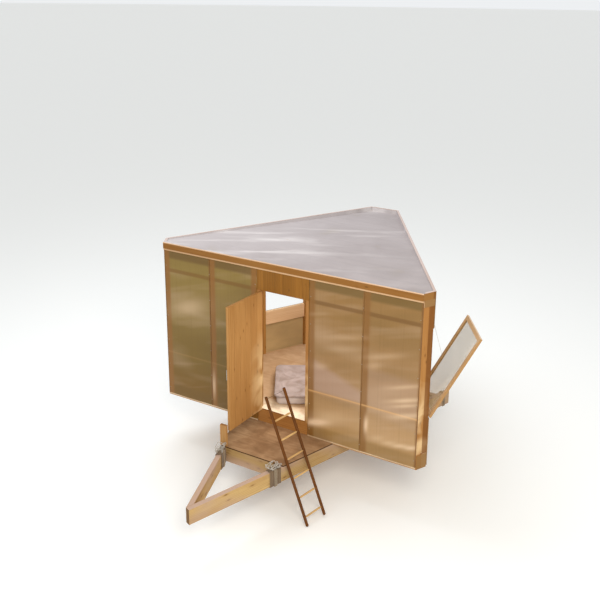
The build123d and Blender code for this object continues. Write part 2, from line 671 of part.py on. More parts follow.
def rung_section(x, radius):
    return Plane.YZ.offset(x) * RegularPolygon(radius, RUNG_SIDES)


rung = extrude(rung_section(0, LADDER_RUNG_RADIUS), amount=shoulder - RUNG_TAPER)
rung += loft([rung_section(shoulder - RUNG_TAPER, LADDER_RUNG_RADIUS), rung_section(shoulder, RUNG_TENON_RADIUS)])
rung += extrude(rung_section(shoulder, RUNG_TENON_RADIUS), amount=rung_half - shoulder)
rung += mirror(rung, about=Plane.YZ)
keep("ladder_rungs", *[ladder * Pos(LADDER_WIDTH / 2, 0, level - LADDER_BELOW) * rung for level in rung_levels])
string_level = LADDER_ABOVE - STRING_DROP
string = Pos(LADDER_WIDTH / 2, 0, string_level) * Rot(0, 90, 0) * Cylinder(STRING_RADIUS, 2 * shoulder)
keep("ladder_string", ladder * string)

# Bed on the floor beside the right wall
bed_place = Location((BED_CORNER_X, BED_CORNER_Y, FLOOR_TOP), (0, 0, BED_TURN))
bed_middle = bed_place * Pos(BED_LENGTH / 2, BED_WIDTH / 2, 0)
mattress_outline = RectangleRounded(BED_LENGTH, BED_WIDTH, MATTRESS_CORNER)
mattress = extrude(mattress_outline, amount=MATTRESS_THICK)
keep("mattress", bed_middle * Pos(0, 0, SEAT_GAP) * mattress)
duvet_outline = RectangleRounded(BED_LENGTH + DUVET_HANG, BED_WIDTH + 2 * DUVET_HANG, MATTRESS_CORNER + DUVET_HANG)
duvet = extrude(duvet_outline, amount=DUVET_THICK)
duvet = fillet(duvet.edges().group_by(Axis.Z)[-1], DUVET_EDGE)
keep("duvet", bed_middle * Pos(-DUVET_HANG / 2, 0, MATTRESS_THICK + 2 * SEAT_GAP) * duvet)

# Door, drawn shut and then turned to its open place
door_thick = DOOR_FRAME_THICK + DOOR_BOARD
door_low = FLOOR_TOP + DOOR_GAP
door_high = HEAD_RAIL_LOW - DOOR_GAP
door_half = JAMB_INNER - DOOR_GAP
door_height = door_high - door_low
pin_x = -JAMB_INNER + PIN_SIDE
pin_y = -PIN_OUT
door_turn = Pos(pin_x, pin_y, 0) * Rot(0, 0, -DOOR_OPEN) * Pos(-pin_x, -pin_y, 0)
door_slab = Pos(0, 0, door_low) * Box(2 * door_half, DOOR_FRAME_THICK, door_height, align=LOW_MIDDLE)
panel_height = (door_height - 3 * DOOR_STILE) / 2
panel = Box(2 * (door_half - DOOR_STILE), 3 * DOOR_FRAME_THICK, panel_height, align=LOW_MIDDLE)
lower_panel = Pos(0, -DOOR_FRAME_THICK, door_low + DOOR_STILE) * panel
upper_panel = Pos(0, 0, panel_height + DOOR_STILE) * lower_panel
keep("door_frame", door_turn * (door_slab - lower_panel - upper_panel))
board_pitch = (2 * door_half + DOOR_BOARD_GROOVE) / DOOR_BOARD_COUNT
boards = []
for i in range(DOOR_BOARD_COUNT):
    board = Box(board_pitch - DOOR_BOARD_GROOVE, DOOR_BOARD, door_height, align=LOW)
    boards.append(door_turn * Pos(-door_half + board_pitch * i, DOOR_FRAME_THICK, door_low) * board)
keep("door_boards", *boards)

# Three hinges: the jambs carry the pins, the door carries the middle knuckles
hinge_levels = (door_low + HINGE_INSET, (door_low + door_high) / 2, door_high - HINGE_INSET)
bore = PIN_RADIUS + PIN_CLEARANCE


def upright(radius, length, level):
    return Pos(pin_x, pin_y, level) * Cylinder(radius, length)


def hinge_plate(side, level, length):
    """A plate on the face of the jamb or of the door, from the knuckle out."""
    x = pin_x + side * HINGE_PLATE_WIDTH / 2
    return Pos(x, -HINGE_PLATE / 2, level) * Box(HINGE_PLATE_WIDTH, HINGE_PLATE, length)


outer_knuckle = KNUCKLE_LENGTH / 2
hinge_length = KNUCKLE_LENGTH + 2 * (KNUCKLE_GAP + outer_knuckle)
outer_shift = (KNUCKLE_LENGTH + outer_knuckle) / 2 + KNUCKLE_GAP
gap_zone = upright(2 * KNUCKLE_RADIUS, KNUCKLE_LENGTH + 2 * KNUCKLE_GAP, 0)
jamb_hinges = []
door_hinges = []
for level in hinge_levels:
    fixed = hinge_plate(-1, level, hinge_length) - Pos(0, 0, level) * gap_zone
    for shift in (-outer_shift, outer_shift):
        fixed += upright(KNUCKLE_RADIUS, outer_knuckle, level + shift)
    jamb_hinges.append(fixed + upright(PIN_RADIUS, hinge_length, level))
    moving = hinge_plate(1, level, KNUCKLE_LENGTH) + upright(KNUCKLE_RADIUS, KNUCKLE_LENGTH, level)
    door_hinges.append(door_turn * (moving - upright(bore, KNUCKLE_LENGTH, level)))
keep("door_hinge_pins", *jamb_hinges)
keep("door_hinge_leaves", *door_hinges)

# Pull handle on the outer face, near the closing edge
grip_x = door_half - DOOR_STILE / 2
grip_half = HANDLE_LENGTH / 2 - HANDLE_RADIUS
grip_points = [(grip_x, y, HANDLE_HEIGHT + z) for y, z in (
    (0, -grip_half), (-HANDLE_STANDOFF, -grip_half), (-HANDLE_STANDOFF, grip_half), (0, grip_half)
)]
grip_path = Polyline(*grip_points)
grip_section = Plane(grip_path @ 0, z_dir=grip_path % 0) * Circle(HANDLE_RADIUS)
grip = sweep(grip_section, path=grip_path, transition=Transition.RIGHT)
keep("door_handle", door_turn * grip)

# Save each piece with the origin in the middle of the front cross beam's outer face
origin_x = (face_x("left", DECK_FRONT, BEAM_THICK) + face_x("right", DECK_FRONT, BEAM_THICK)) / 2
to_origin = Pos(-origin_x, -DECK_FRONT, -(BEAM_TOP + BEAM_BOTTOM) / 2)
os.makedirs("parts", exist_ok=True)
for name, solids in nodes.items():
    moved = [to_origin * solid for solid in solids]
    export_step(Compound(children=moved) if len(moved) > 1 else moved[0], "parts/" + name + ".step")
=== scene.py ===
import math
import bpy
import numpy as np
from mathutils import Matrix, Vector


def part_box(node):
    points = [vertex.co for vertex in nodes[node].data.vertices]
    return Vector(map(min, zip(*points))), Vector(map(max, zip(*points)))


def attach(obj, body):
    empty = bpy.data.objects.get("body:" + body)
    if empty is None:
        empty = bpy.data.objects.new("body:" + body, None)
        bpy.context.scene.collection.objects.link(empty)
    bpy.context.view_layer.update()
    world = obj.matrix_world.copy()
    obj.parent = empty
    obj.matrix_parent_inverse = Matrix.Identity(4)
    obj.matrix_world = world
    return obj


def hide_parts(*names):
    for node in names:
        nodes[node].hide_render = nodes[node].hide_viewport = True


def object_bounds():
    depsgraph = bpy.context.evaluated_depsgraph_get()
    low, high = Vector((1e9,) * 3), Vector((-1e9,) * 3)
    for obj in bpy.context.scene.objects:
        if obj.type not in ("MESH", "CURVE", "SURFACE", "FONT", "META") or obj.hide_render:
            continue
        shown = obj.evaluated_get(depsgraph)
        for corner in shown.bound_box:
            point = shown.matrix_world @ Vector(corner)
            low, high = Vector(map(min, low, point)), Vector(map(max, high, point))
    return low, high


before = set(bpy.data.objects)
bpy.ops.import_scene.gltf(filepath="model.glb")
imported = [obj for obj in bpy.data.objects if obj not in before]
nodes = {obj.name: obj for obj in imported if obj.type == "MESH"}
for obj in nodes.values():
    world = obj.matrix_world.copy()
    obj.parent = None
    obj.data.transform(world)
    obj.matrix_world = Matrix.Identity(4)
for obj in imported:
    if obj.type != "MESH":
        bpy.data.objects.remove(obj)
cad_box = [list(corner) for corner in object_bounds()]

# Camera
# It looks down on the front wall's right end from high in front, along the photograph's own line of sight.
# The lens is shifted, because the picture's centre lies off the middle of that line.
PHOTO_PIXELS = 600
CAMERA_PLACE = (5.4234, -8.1913, 6.4611)
CAMERA_HEADING = math.radians(28.583)
CAMERA_DIP = math.radians(15.432)
CAMERA_ROLL = math.radians(0.757)
FOCAL_PIXELS = 781.4
CENTRE_PIXELS = (314, 210)
SENSOR = 36.0

camera = bpy.data.objects.new("camera", bpy.data.cameras.new("camera"))
headed = Matrix.Translation(CAMERA_PLACE) @ Matrix.Rotation(CAMERA_HEADING, 4, "Z")
dipped = headed @ Matrix.Rotation(math.pi / 2 - CAMERA_DIP, 4, "X")
camera.matrix_world = dipped @ Matrix.Rotation(CAMERA_ROLL, 4, "Z")
camera.data.sensor_width = SENSOR
camera.data.lens = SENSOR * FOCAL_PIXELS / PHOTO_PIXELS
camera.data.shift_x = 0.5 - CENTRE_PIXELS[0] / PHOTO_PIXELS
camera.data.shift_y = CENTRE_PIXELS[1] / PHOTO_PIXELS - 0.5
bpy.context.scene.collection.objects.link(camera)
bpy.context.scene.camera = camera


# Studio
# A wide pale floor at the level of the ladder's feet, a pale sky that lights evenly, two soft lamps outside
# and one under the roof, which stands for the daylight that the translucent walls let in.
FLOOR_DROP = 0.002
FLOOR_RADIUS = 500.0
FLOOR_SIDES = 96
FLOOR_GLOW = 0.12
SKY_STRENGTH = 0.8


def paint(red, green, blue):
    """A screen colour, each part from 0 to 255, as the linear values that a shader takes."""
    shares = np.array((red, green, blue)) / 255
    linear = np.where(shares <= 0.04045, shares / 12.92, ((shares + 0.055) / 1.055) ** 2.4)
    return (*linear.tolist(), 1.0)


def add_node(tree, kind, inputs=(), **settings):
    """Adds a node, sets its settings, and gives each input a value or the socket that feeds it."""
    made = tree.nodes.new("ShaderNode" + kind)
    for key, value in settings.items():
        setattr(made, key, value)
    for key, value in dict(inputs).items():
        if isinstance(value, bpy.types.NodeSocket):
            tree.links.new(value, made.inputs[key])
        else:
            made.inputs[key].default_value = value
    return made


class Finish:
    """A material that starts as one colour and has stains laid over it, one after another."""

    def __init__(self, name, colour, roughness=0.7, shine=0.3, **values):
        self.material = bpy.data.materials.new(name)
        self.material.use_nodes = True
        self.tree = self.material.node_tree
        self.shader = self.tree.nodes["Principled BSDF"]
        self.colour = colour
        self.shader.inputs["Base Color"].default_value = colour
        self.shader.inputs["Roughness"].default_value = roughness
        self.shader.inputs["Specular IOR Level"].default_value = shine
        for key, value in values.items():
            self.shader.inputs[key.replace("_", " ").title()].default_value = value

    def add(self, kind, inputs=(), **settings):
        return add_node(self.tree, kind, inputs, **settings)

    def feed(self, socket, value):
        self.tree.links.new(value, self.shader.inputs[socket])

    def place(self):
        """Where a point lies in the shared frame, in metres."""
        return self.add("TexCoord").outputs["Object"]

    def laid(self):
        """Where a point lies on the piece laid out flat, in metres."""
        return self.add("UVMap", uv_map="lay").outputs["UV"]

    def facing(self):
        return self.add("NewGeometry").outputs["Normal"]

    def mark(self, name):
        """A value from 0 to 1 that the mesh holds at its points."""
        return self.add("Attribute", attribute_name=name).outputs["Fac"]

    def part(self, vector, axis):
        return self.add("SeparateXYZ", {0: vector}).outputs[axis]

    def math(self, operation, first, second=0.0):
        return self.add("Math", {0: first, 1: second}, operation=operation).outputs[0]

    def ranged(self, value, low, high, to_low=0.0, to_high=1.0):
        """The value between low and high, spread over another range and held at its ends."""
        inputs = {"Value": value, "From Min": low, "From Max": high, "To Min": to_low, "To Max": to_high}
        return self.add("MapRange", inputs).outputs["Result"]

    def noise(self, vector, stretch, detail=4.0, warp=0.0):
        """Soft noise from 0 to 1, with so many spots to a metre along each axis of the vector."""
        placed = self.add("Mapping", {"Vector": vector, "Scale": stretch}).outputs[0]
        inputs = {"Vector": placed, "Scale": 1.0, "Detail": detail, "Distortion": warp}
        return self.add("TexNoise", inputs).outputs["Fac"]

    def mixed(self, share, first, second):
        """The first colour, going over to the second as the share goes from 0 to 1."""
        return self.add("Mix", {0: share, 6: first, 7: second}, data_type="RGBA").outputs[2]

    def stain(self, colour, value, low, high, most=1.0):
        """Takes the finish over to a colour, by that share at most, as the value goes from low to high."""
        self.colour = self.mixed(self.ranged(value, low, high, 0.0, most), self.colour, colour)
        self.feed("Base Color", self.colour)

    def bump(self, height, strength, distance):
        inputs = {"Strength": strength, "Distance": distance, "Height": height}
        self.feed("Normal", self.add("Bump", inputs).outputs[0])


floor_level = cad_box[0][2] - FLOOR_DROP
around = np.linspace(0, 2 * math.pi, FLOOR_SIDES, endpoint=False)
floor_points = [(FLOOR_RADIUS * math.cos(a), FLOOR_RADIUS * math.sin(a), floor_level) for a in around]
floor_mesh = bpy.data.meshes.new("studio_floor")
floor_mesh.from_pydata(floor_points, [], [list(range(FLOOR_SIDES))])
studio_floor = bpy.data.objects.new("studio_floor", floor_mesh)
bpy.context.scene.collection.objects.link(studio_floor)
floor_white = paint(248, 248, 245)
floor_glow = {"emission_color": floor_white, "emission_strength": FLOOR_GLOW}
floor_mesh.materials.append(Finish("studio_floor", floor_white, 0.95, 0.05, **floor_glow).material)

world = bpy.data.worlds.new("studio")
world.use_nodes = True
sky = world.node_tree
background = sky.nodes["Background"]
background.inputs["Color"].default_value = paint(238, 240, 242)
ray = add_node(sky, "LightPath").outputs
direct = add_node(sky, "Math", {0: ray["Is Camera Ray"], 1: ray["Is Glossy Ray"]}, operation="MAXIMUM")
seen_through = {0: direct.outputs[0], 1: ray["Is Transmission Ray"]}
seen = add_node(sky, "Math", seen_through, operation="MAXIMUM")
strength = add_node(sky, "MapRange", {"Value": seen.outputs[0], "To Min": SKY_STRENGTH}).outputs[0]
sky.links.new(strength, background.inputs["Strength"])
bpy.context.scene.world = world


def lamp(name, place, target, width, watts, colour):
    """A square soft lamp that faces its target and isn't seen itself."""
    made = bpy.data.objects.new(name, bpy.data.lights.new(name, "AREA"))
    made.data.size = width
    made.data.energy = watts
    made.data.color = colour[:3]
    made.visible_camera = False
    toward = Vector(target) - Vector(place)
    made.matrix_world = Matrix.Translation(place) @ toward.to_track_quat("-Z", "Y").to_matrix().to_4x4()
    bpy.context.scene.collection.objects.link(made)


lamp("key", (5.5, -6.0, 7.5), (0.2, 1.2, 1.2), width=4.0, watts=520, colour=paint(255, 246, 232))
lamp("sky", (-3.0, 2.5, 9.5), (0.0, 2.0, 1.0), width=6.0, watts=380, colour=paint(240, 246, 255))
lamp("under_roof", (0.1, 1.9, 2.3), (0.1, 1.9, 0.0), width=1.5, watts=38, colour=paint(255, 250, 246))
bpy.context.scene.view_settings.view_transform = "Standard"


# Beams and framing
# Sawn softwood, a solid body of growth rings with knots. The end grain is darker, and upper faces have
# greyed. The arms are lashed to the main beams, and the studs, plates and joists are nailed.
RING_PITCH = 0.012
WAVE_CYCLE = math.pi / 10
RIGHT_BEAM = 68.5
LEFT_BEAM = 107.3
RIGHT_WALL = 120.0
LEFT_WALL = 60.0
SUN_ON_WOOD = paint(244, 212, 160)
SUN_HEIGHTS = (1.7, 0.9)


def along_grain(wood, vector, heading, upright, other_heading):
    """Turns a vector so that its X runs with the grain. Left of the middle, another heading may hold."""
    def turned(degrees):
        turn = (0, math.pi / 2, 0) if upright else (0, 0, -math.radians(degrees))
        return wood.add("Mapping", {"Vector": vector, "Rotation": turn}, vector_type="VECTOR").outputs[0]

    if other_heading is None:
        return turned(heading)
    on_right = wood.math("GREATER_THAN", wood.part(wood.place(), "X"), 0.0)
    headings = {0: on_right, 4: turned(other_heading), 5: turned(heading)}
    return wood.add("Mix", headings, data_type="VECTOR").outputs[1]


def darker(colour, share):
    return tuple(part * share for part in colour[:3]) + (1.0,)


def timber(name, pale, dark, heading=0.0, upright=False, other_heading=None, end=None, top=None, knots=0.12,
           tone="", aged=0.0, lit=0.0, lit_depths=None, gloss=0.0):
    """Solid wood: rings about a line beside the piece, long fibres, knots, darker ends and greyed tops.
    Sun may lie on its lower part in patches, and the mesh may hold a tone for each board."""
    wood = Finish(name, pale, shine=0.25 + 0.3 * gloss)
    place = wood.place()
    grain = along_grain(wood, place, heading, upright, other_heading)
    rings_at = wood.add("Mapping", {"Vector": grain, "Location": (0, 0.13, 0.21), "Scale": (0.05, 1, 1)})
    rings = wood.add("TexWave", {
        "Vector": rings_at.outputs[0], "Scale": WAVE_CYCLE / RING_PITCH, "Distortion": 6.0, "Detail": 3.0,
        "Detail Scale": 0.35,
    }, wave_type="RINGS", rings_direction="X").outputs["Fac"]
    late_wood = wood.math("POWER", rings, 2.2)
    fibres = wood.noise(grain, (2.5, 70, 70), 5.0)
    broad = wood.noise(grain, (0.8, 5, 5), 3.0)
    wood.stain(dark, late_wood, 0, 1, 0.38)
    wood.stain(dark, fibres, 0.35, 0.75, 0.38)
    wood.stain(dark, broad, 0.38, 0.68, 0.5)
    if tone:
        wood.stain(darker(dark, 0.8), wood.mark(tone), 0, 1, 0.3)
        wood.stain(darker(dark, 0.75), wood.noise(grain, (0.6, 130, 130), 3.0), 0.45, 0.7, 0.5)
    knot_at = wood.add("Mapping", {"Vector": grain, "Scale": (4, 11, 11)}).outputs[0]
    knot = wood.add("TexVoronoi", {"Vector": knot_at, "Scale": 1.0}).outputs["Distance"]
    wood.stain(dark, knot, knots * 1.9, knots * 0.8, 0.4)
    wood.stain(darker(dark, 0.6), knot, knots, knots * 0.4, 0.85)
    if lit:
        patches = wood.noise(grain, (2.6, 3, 3), 2.0, 0.6)
        low_down = wood.ranged(wood.part(place, "Z"), *SUN_HEIGHTS)
        if lit_depths:
            low_down = wood.math("MULTIPLY", low_down, wood.ranged(wood.part(place, "Y"), *lit_depths))
            patches = wood.math("ADD", patches, 0.12)
        sun = wood.math("MULTIPLY", wood.ranged(patches, 0.46, 0.64), low_down)
        wood.stain(SUN_ON_WOOD, sun, 0, 1, lit)
    facing = wood.facing()
    if top and not upright:
        wood.stain(top, wood.noise(grain, (1.1, 3, 3), 2.0), 0.42, 0.68, aged)
        weather = wood.ranged(broad, 0.3, 0.7, 1.0, 0.7)
        wood.stain(top, wood.math("MULTIPLY", wood.part(facing, "Z"), weather), 0.3, 0.8, 0.92)
    end_on = wood.part(along_grain(wood, facing, heading, upright, other_heading), "X")
    end_grain = wood.mixed(late_wood, end or dark, darker(end or dark, 0.75))
    wood.stain(end_grain, wood.math("ABSOLUTE", end_on), 0.72, 0.85, 0.9)
    wood.feed("Roughness", wood.ranged(fibres, 0.3, 0.8, 0.58 - 0.3 * gloss, 0.82 - 0.4 * gloss))
    wood.bump(wood.math("ADD", fibres, late_wood), 0.35, 0.0015)
    return wood


def dress(finish, *names):
    """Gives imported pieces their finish."""
    for name in names:
        nodes[name].data.materials.clear()
        nodes[name].data.materials.append(finish.material)


BEAM_PALE = paint(204, 172, 114)
BEAM_DARK = paint(158, 112, 58)
BEAM_TOP = paint(182, 154, 136)
BEAM_END = paint(112, 74, 22)
# Painted shade: the main beams and crossbeams under the house take darker copies of the beam colours.
UNDER_HOUSE_SHADE = 0.84
beam_headings = {
    "v_arm_right": (RIGHT_BEAM, None), "v_arm_left": (LEFT_BEAM, None), "main_beams": (RIGHT_BEAM, LEFT_BEAM),
    "front_crossbeam": (0.0, None), "rear_crossbeam": (0.0, None),
}
for node, (heading, other) in beam_headings.items():
    shade = 1.0 if node.startswith("v_arm") else UNDER_HOUSE_SHADE
    tints = darker(BEAM_PALE, shade), darker(BEAM_DARK, shade)
    dress(timber(node, *tints, heading, False, other, BEAM_END, BEAM_TOP, knots=0.16, aged=0.85), node)
FRAME_PALE = paint(206, 172, 134)
FRAME_DARK = paint(176, 136, 94)
FRAME_END = paint(148, 108, 56)
level_front = timber("frame_level", FRAME_PALE, FRAME_DARK, end=FRAME_END)
level_sides = timber("frame_sides", FRAME_PALE, FRAME_DARK, RIGHT_WALL, False, LEFT_WALL, FRAME_END)
dress(level_front, "floor_beam_rear", "floor_joists", "roof_joists", "front_rails", "door_head")
dress(level_front, "top_plate_front", "top_plate_rear")
dress(level_sides, "floor_beam_sides", "top_plate_sides", "right_rails")
dress(timber("front_sill", paint(184, 128, 66), paint(146, 94, 42), end=FRAME_END), "floor_beam_front")
left_level = timber("left_level", paint(230, 198, 158), paint(204, 164, 120), LEFT_WALL, end=FRAME_END)
dress(left_level, "left_rails")
for name, node, pale, dark, lit in (
    ("front_upright", "front_posts", paint(184, 130, 68), paint(146, 94, 40), 0.7),
    ("jamb_upright", "door_jambs", paint(176, 124, 68), paint(142, 94, 44), 0.6),
    ("side_upright", "right_posts", paint(142, 90, 34), paint(114, 68, 22), 0.15),
    ("left_upright", "left_posts", paint(182, 134, 72), paint(150, 102, 46), 0.0),
    ("deck_upright", "deck_corner_post", paint(196, 150, 92), paint(150, 102, 54), 0.0),
):
    dress(timber(name, pale, dark, upright=True, lit=lit), node)


# Roof edge
# Oiled boards stand on edge round the roof. Their tops have weathered grey. Under the front one runs a pale
# strip that covers the sheets' upper ends.
CURB_PALE = paint(156, 108, 50)
CURB_DARK = paint(130, 84, 32)
CURB_GREY = paint(204, 186, 178)
curb_level = timber("curb_level", CURB_PALE, CURB_DARK, end=CURB_PALE, top=CURB_GREY)
curb_sides = timber("curb_sides", CURB_PALE, CURB_DARK, RIGHT_WALL, other_heading=LEFT_WALL, top=CURB_GREY)
dress(curb_level, "roof_curb_front", "roof_curb_rear")
dress(curb_sides, "roof_curb_sides")
dress(timber("eaves_strip", paint(216, 180, 140), paint(188, 146, 104), knots=0.05), "eaves_strips")


# Boards
# The deck, the floor and the roof are plywood, screwed down on beams and joists: a long plain grain on the
# faces, a darker colour on the edges, and painted sunlight in pale patches on the floor inside the doorway.
FLOOR_SUN_DEPTHS = (1.2, 0.98)
FLOOR_SUN_PALE = paint(255, 240, 212)


def plywood(name, pale, dark, edge, painted_sun):
    """Plywood: broad peeled grain along X, scuffs, and a darker colour on the faces that stand
    upright. Along the front it can have painted sunlight in pale patches."""
    board = Finish(name, pale, roughness=0.75, shine=0.2)
    place = board.place()
    wear_and_sun_spots = board.noise(place, (4.5, 4.5, 4.5), 6.0)
    fine = board.noise(place, (14, 260, 260), 3.0)
    board.stain(dark, board.noise(place, (2.2, 9, 9), 6.0, 1.2), 0.35, 0.7, 0.7)
    board.stain(dark, wear_and_sun_spots, 0.42, 0.66, 0.75)
    board.stain(dark, fine, 0.4, 0.8, 0.3)
    # Painted sunlight: pale patches on the floor near the doorway, shaped by the same spots as the scuffs.
    if painted_sun:
        near_door = board.ranged(board.part(place, "Y"), *FLOOR_SUN_DEPTHS)
        sun_patch = board.math("MULTIPLY", near_door, board.ranged(wear_and_sun_spots, 0.3, 0.5))
        board.stain(FLOOR_SUN_PALE, sun_patch, 0, 1, painted_sun)
    flat = board.math("ABSOLUTE", board.part(board.facing(), "Z"))
    board.stain(edge, flat, 0.7, 0.3)
    board.bump(fine, 0.25, 0.001)
    return board


for name, pale, dark, edge, painted_sun in (
    ("deck", paint(176, 140, 102), paint(128, 94, 62), paint(80, 54, 30), 0.0),
    ("floor", paint(206, 174, 138), paint(182, 146, 108), paint(146, 98, 46), 0.95),
    ("roof", paint(200, 160, 108), paint(168, 124, 76), paint(120, 80, 44), 0.0),
):
    dress(plywood(name + "_plywood", pale, dark, edge, painted_sun), name + "_board")


# Wall sheets
# Ribbed translucent sheets, one to each bay, screwed to the posts. They bulge a little between the screws,
# and the timbers behind show through as darker bands of painted shade. Painted reflections lie on them in
# soft streaks, a painted highlight runs along the mid rail, and painted light shows where daylight comes in.
WALL = 0.087
FRONT_LENGTH = 4.3
APEX_FLAT = 0.53
SHEET_THICK = 0.0114
BULGE = 0.0022
SHEET_CELL = 0.02
TAN30 = math.tan(math.radians(30))
TAN60 = math.tan(math.radians(60))
CORNER_FLAT = 4 * WALL * TAN30
SIDE = FRONT_LENGTH + 2 * CORNER_FLAT
SIDE_LENGTH = SIDE - CORNER_FLAT - APEX_FLAT
front_low, front_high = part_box("front_sheets_left")[0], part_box("front_sheets_right")[1]
MIDDLE_X = (front_low.x + front_high.x) / 2
FRONT_Y = front_low.y
REAR_DEPTH = (SIDE - APEX_FLAT) * math.sin(math.radians(60))
DECK_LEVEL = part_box("deck_board")[1].z


class Run:
    """A straight run of work. Its points are given along it, over to its left and up. A wall's run goes
    along the outer face, so that over means inward."""

    def __init__(self, heading, x=0.0, y=0.0):
        ahead, over = math.cos(math.radians(heading)), math.sin(math.radians(heading))
        self.axes = np.array(((ahead, over, 0), (-over, ahead, 0), (0, 0, 1)))
        self.start = np.array((x, y, 0.0))

    def points(self, along, over, up):
        return np.stack(np.broadcast_arrays(along, over, up), axis=-1) @ self.axes + self.start


front_run = Run(0, MIDDLE_X - FRONT_LENGTH / 2, FRONT_Y)
right_run = Run(RIGHT_WALL, MIDDLE_X + (SIDE - CORNER_FLAT) / 2, FRONT_Y + CORNER_FLAT * TAN60 / 2)
rear_run = Run(180, MIDDLE_X + APEX_FLAT / 2, FRONT_Y + REAR_DEPTH)
left_run = Run(180 + LEFT_WALL, MIDDLE_X - APEX_FLAT / 2, FRONT_Y + REAR_DEPTH)


def lay(name, patches, finishes, marks=(), ring=False, smooth=True):
    """One mesh of several grids. A patch is (points, uv, marks) on crossing lines. In a ring, the last
    line of the second kind joins the first."""
    points, faces, uvs, values = [], [], [], {mark: [] for mark in marks}
    start = 0
    for grid, uv, marked in patches:
        rows, columns = grid.shape[:2]
        index = start + np.arange(rows * columns).reshape(rows, columns)
        beside = np.roll(index, -1, axis=1)
        if not ring:
            index, beside = index[:, :-1], beside[:, :-1]
        quads = np.stack((index[:-1], index[1:], beside[1:], beside[:-1]), axis=-1)
        points.append(grid.reshape(-1, 3))
        faces.append(quads.reshape(-1, 4))
        uvs.append(uv.reshape(-1, 2))
        for mark in marks:
            values[mark].append(marked[mark].reshape(-1))
        start += rows * columns
    mesh = bpy.data.meshes.new(name)
    mesh.from_pydata(np.concatenate(points).tolist(), [], np.concatenate(faces).tolist())
    corner_vertices = np.empty(len(mesh.loops), dtype=np.int32)
    mesh.loops.foreach_get("vertex_index", corner_vertices)
    mesh.uv_layers.new(name="lay").data.foreach_set("uv", np.concatenate(uvs)[corner_vertices].ravel())
    for mark in marks:
        mesh.attributes.new(mark, "FLOAT", "POINT").data.foreach_set("value", np.concatenate(values[mark]))
    mesh.polygons.foreach_set("use_smooth", [smooth] * len(mesh.polygons))
    for finish in finishes:
        mesh.materials.append(finish.material)
    made = bpy.data.objects.new(name, mesh)
    bpy.context.scene.collection.objects.link(made)
    return made


def settle(piece, instead_of=()):
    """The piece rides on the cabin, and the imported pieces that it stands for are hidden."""
    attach(piece, "cabin")
    if instead_of:
        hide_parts(*instead_of)


def thicken(piece, thickness, inner_material=0):
    """Gives a surface its thickness, inwards from the outer face."""
    made = piece.modifiers.new("thickness", "SOLIDIFY")
    made.thickness = thickness
    made.offset = -1
    made.use_even_offset = True
    made.material_offset = inner_material


def within(value, low, high, blur):
    """1 between low and high, 0 well outside, going over smoothly across the blur at each edge."""
    away = np.maximum(low - value, value - high)
    share = np.clip(0.5 - away / blur, 0, 1)
    return share * share * (3 - 2 * share)


STUD = 0.05
STUD_STEP = 0.84
FRONT_STUD = 1.29
DOOR_HALF = 0.436
STUD_SHADE = 0.1
EDGE_SHADE = 0.022
SHARP_BLUR = 0.012
SOFT_BLUR = 0.05
DEEP_BLUR = 0.07
GLOW_HEIGHT = 0.024
FLOOR_BEAM_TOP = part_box("front_posts")[0].z
# The top plate's painted shade starts 5 cm below the plate, for the shadow under it.
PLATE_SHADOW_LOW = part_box("top_plate_front")[0].z - 0.05
MID_RAIL_TOP = DECK_LEVEL + 0.770
HEAD_RAIL = (DECK_LEVEL + 2.124, DECK_LEVEL + 2.184)
LIGHT_SLOPE = 0.27
LIGHT_SWAY = 0.02
FOOT_SHARE = 0.4
RAIL_BLUR = 0.025
BED_BLUR = 0.08
BED_TOP_BLUR = 0.1
RIB_PITCH = 0.02
TINT_HEIGHT = 2.7
REFLECTION_PALE = paint(206, 176, 146)
MARKS = ("post", "level", "rail", "glow", "bright", "bed")
# Places where light comes through: way along the wall, height, half length, half height and strength.
FRONT_BRIGHT = (
    (2.72, 0.37, 0.20, 0.055, 1.0), (2.90, 0.50, 0.30, 0.120, 0.35), (3.20, 1.86, 0.30, 0.040, 0.22),
    (3.15, 1.67, 0.30, 0.050, 0.22), (2.75, 2.10, 0.20, 0.030, 0.15), (2.80, 1.30, 0.12, 0.050, 0.25),
    (3.53, 0.61, 0.03, 0.130, 0.9), (3.62, 1.55, 0.12, 0.050, 0.25), (3.75, 1.72, 0.30, 0.050, 0.25),
    (3.90, 1.20, 0.45, 0.200, 0.10), (4.10, 1.34, 0.26, 0.030, 0.35), (4.12, 1.14, 0.24, 0.035, 0.6),
    (4.12, 1.06, 0.20, 0.025, 0.5), (4.15, 0.91, 0.26, 0.045, 0.5), (4.22, 0.43, 0.10, 0.035, 0.7),
    (4.05, 0.42, 0.12, 0.035, 0.6), (3.88, 0.42, 0.12, 0.040, 0.4), (3.70, 0.44, 0.12, 0.050, 0.3),
    (0.45, 1.72, 0.32, 0.140, 0.4), (0.90, 0.50, 0.03, 0.200, 0.7),
)


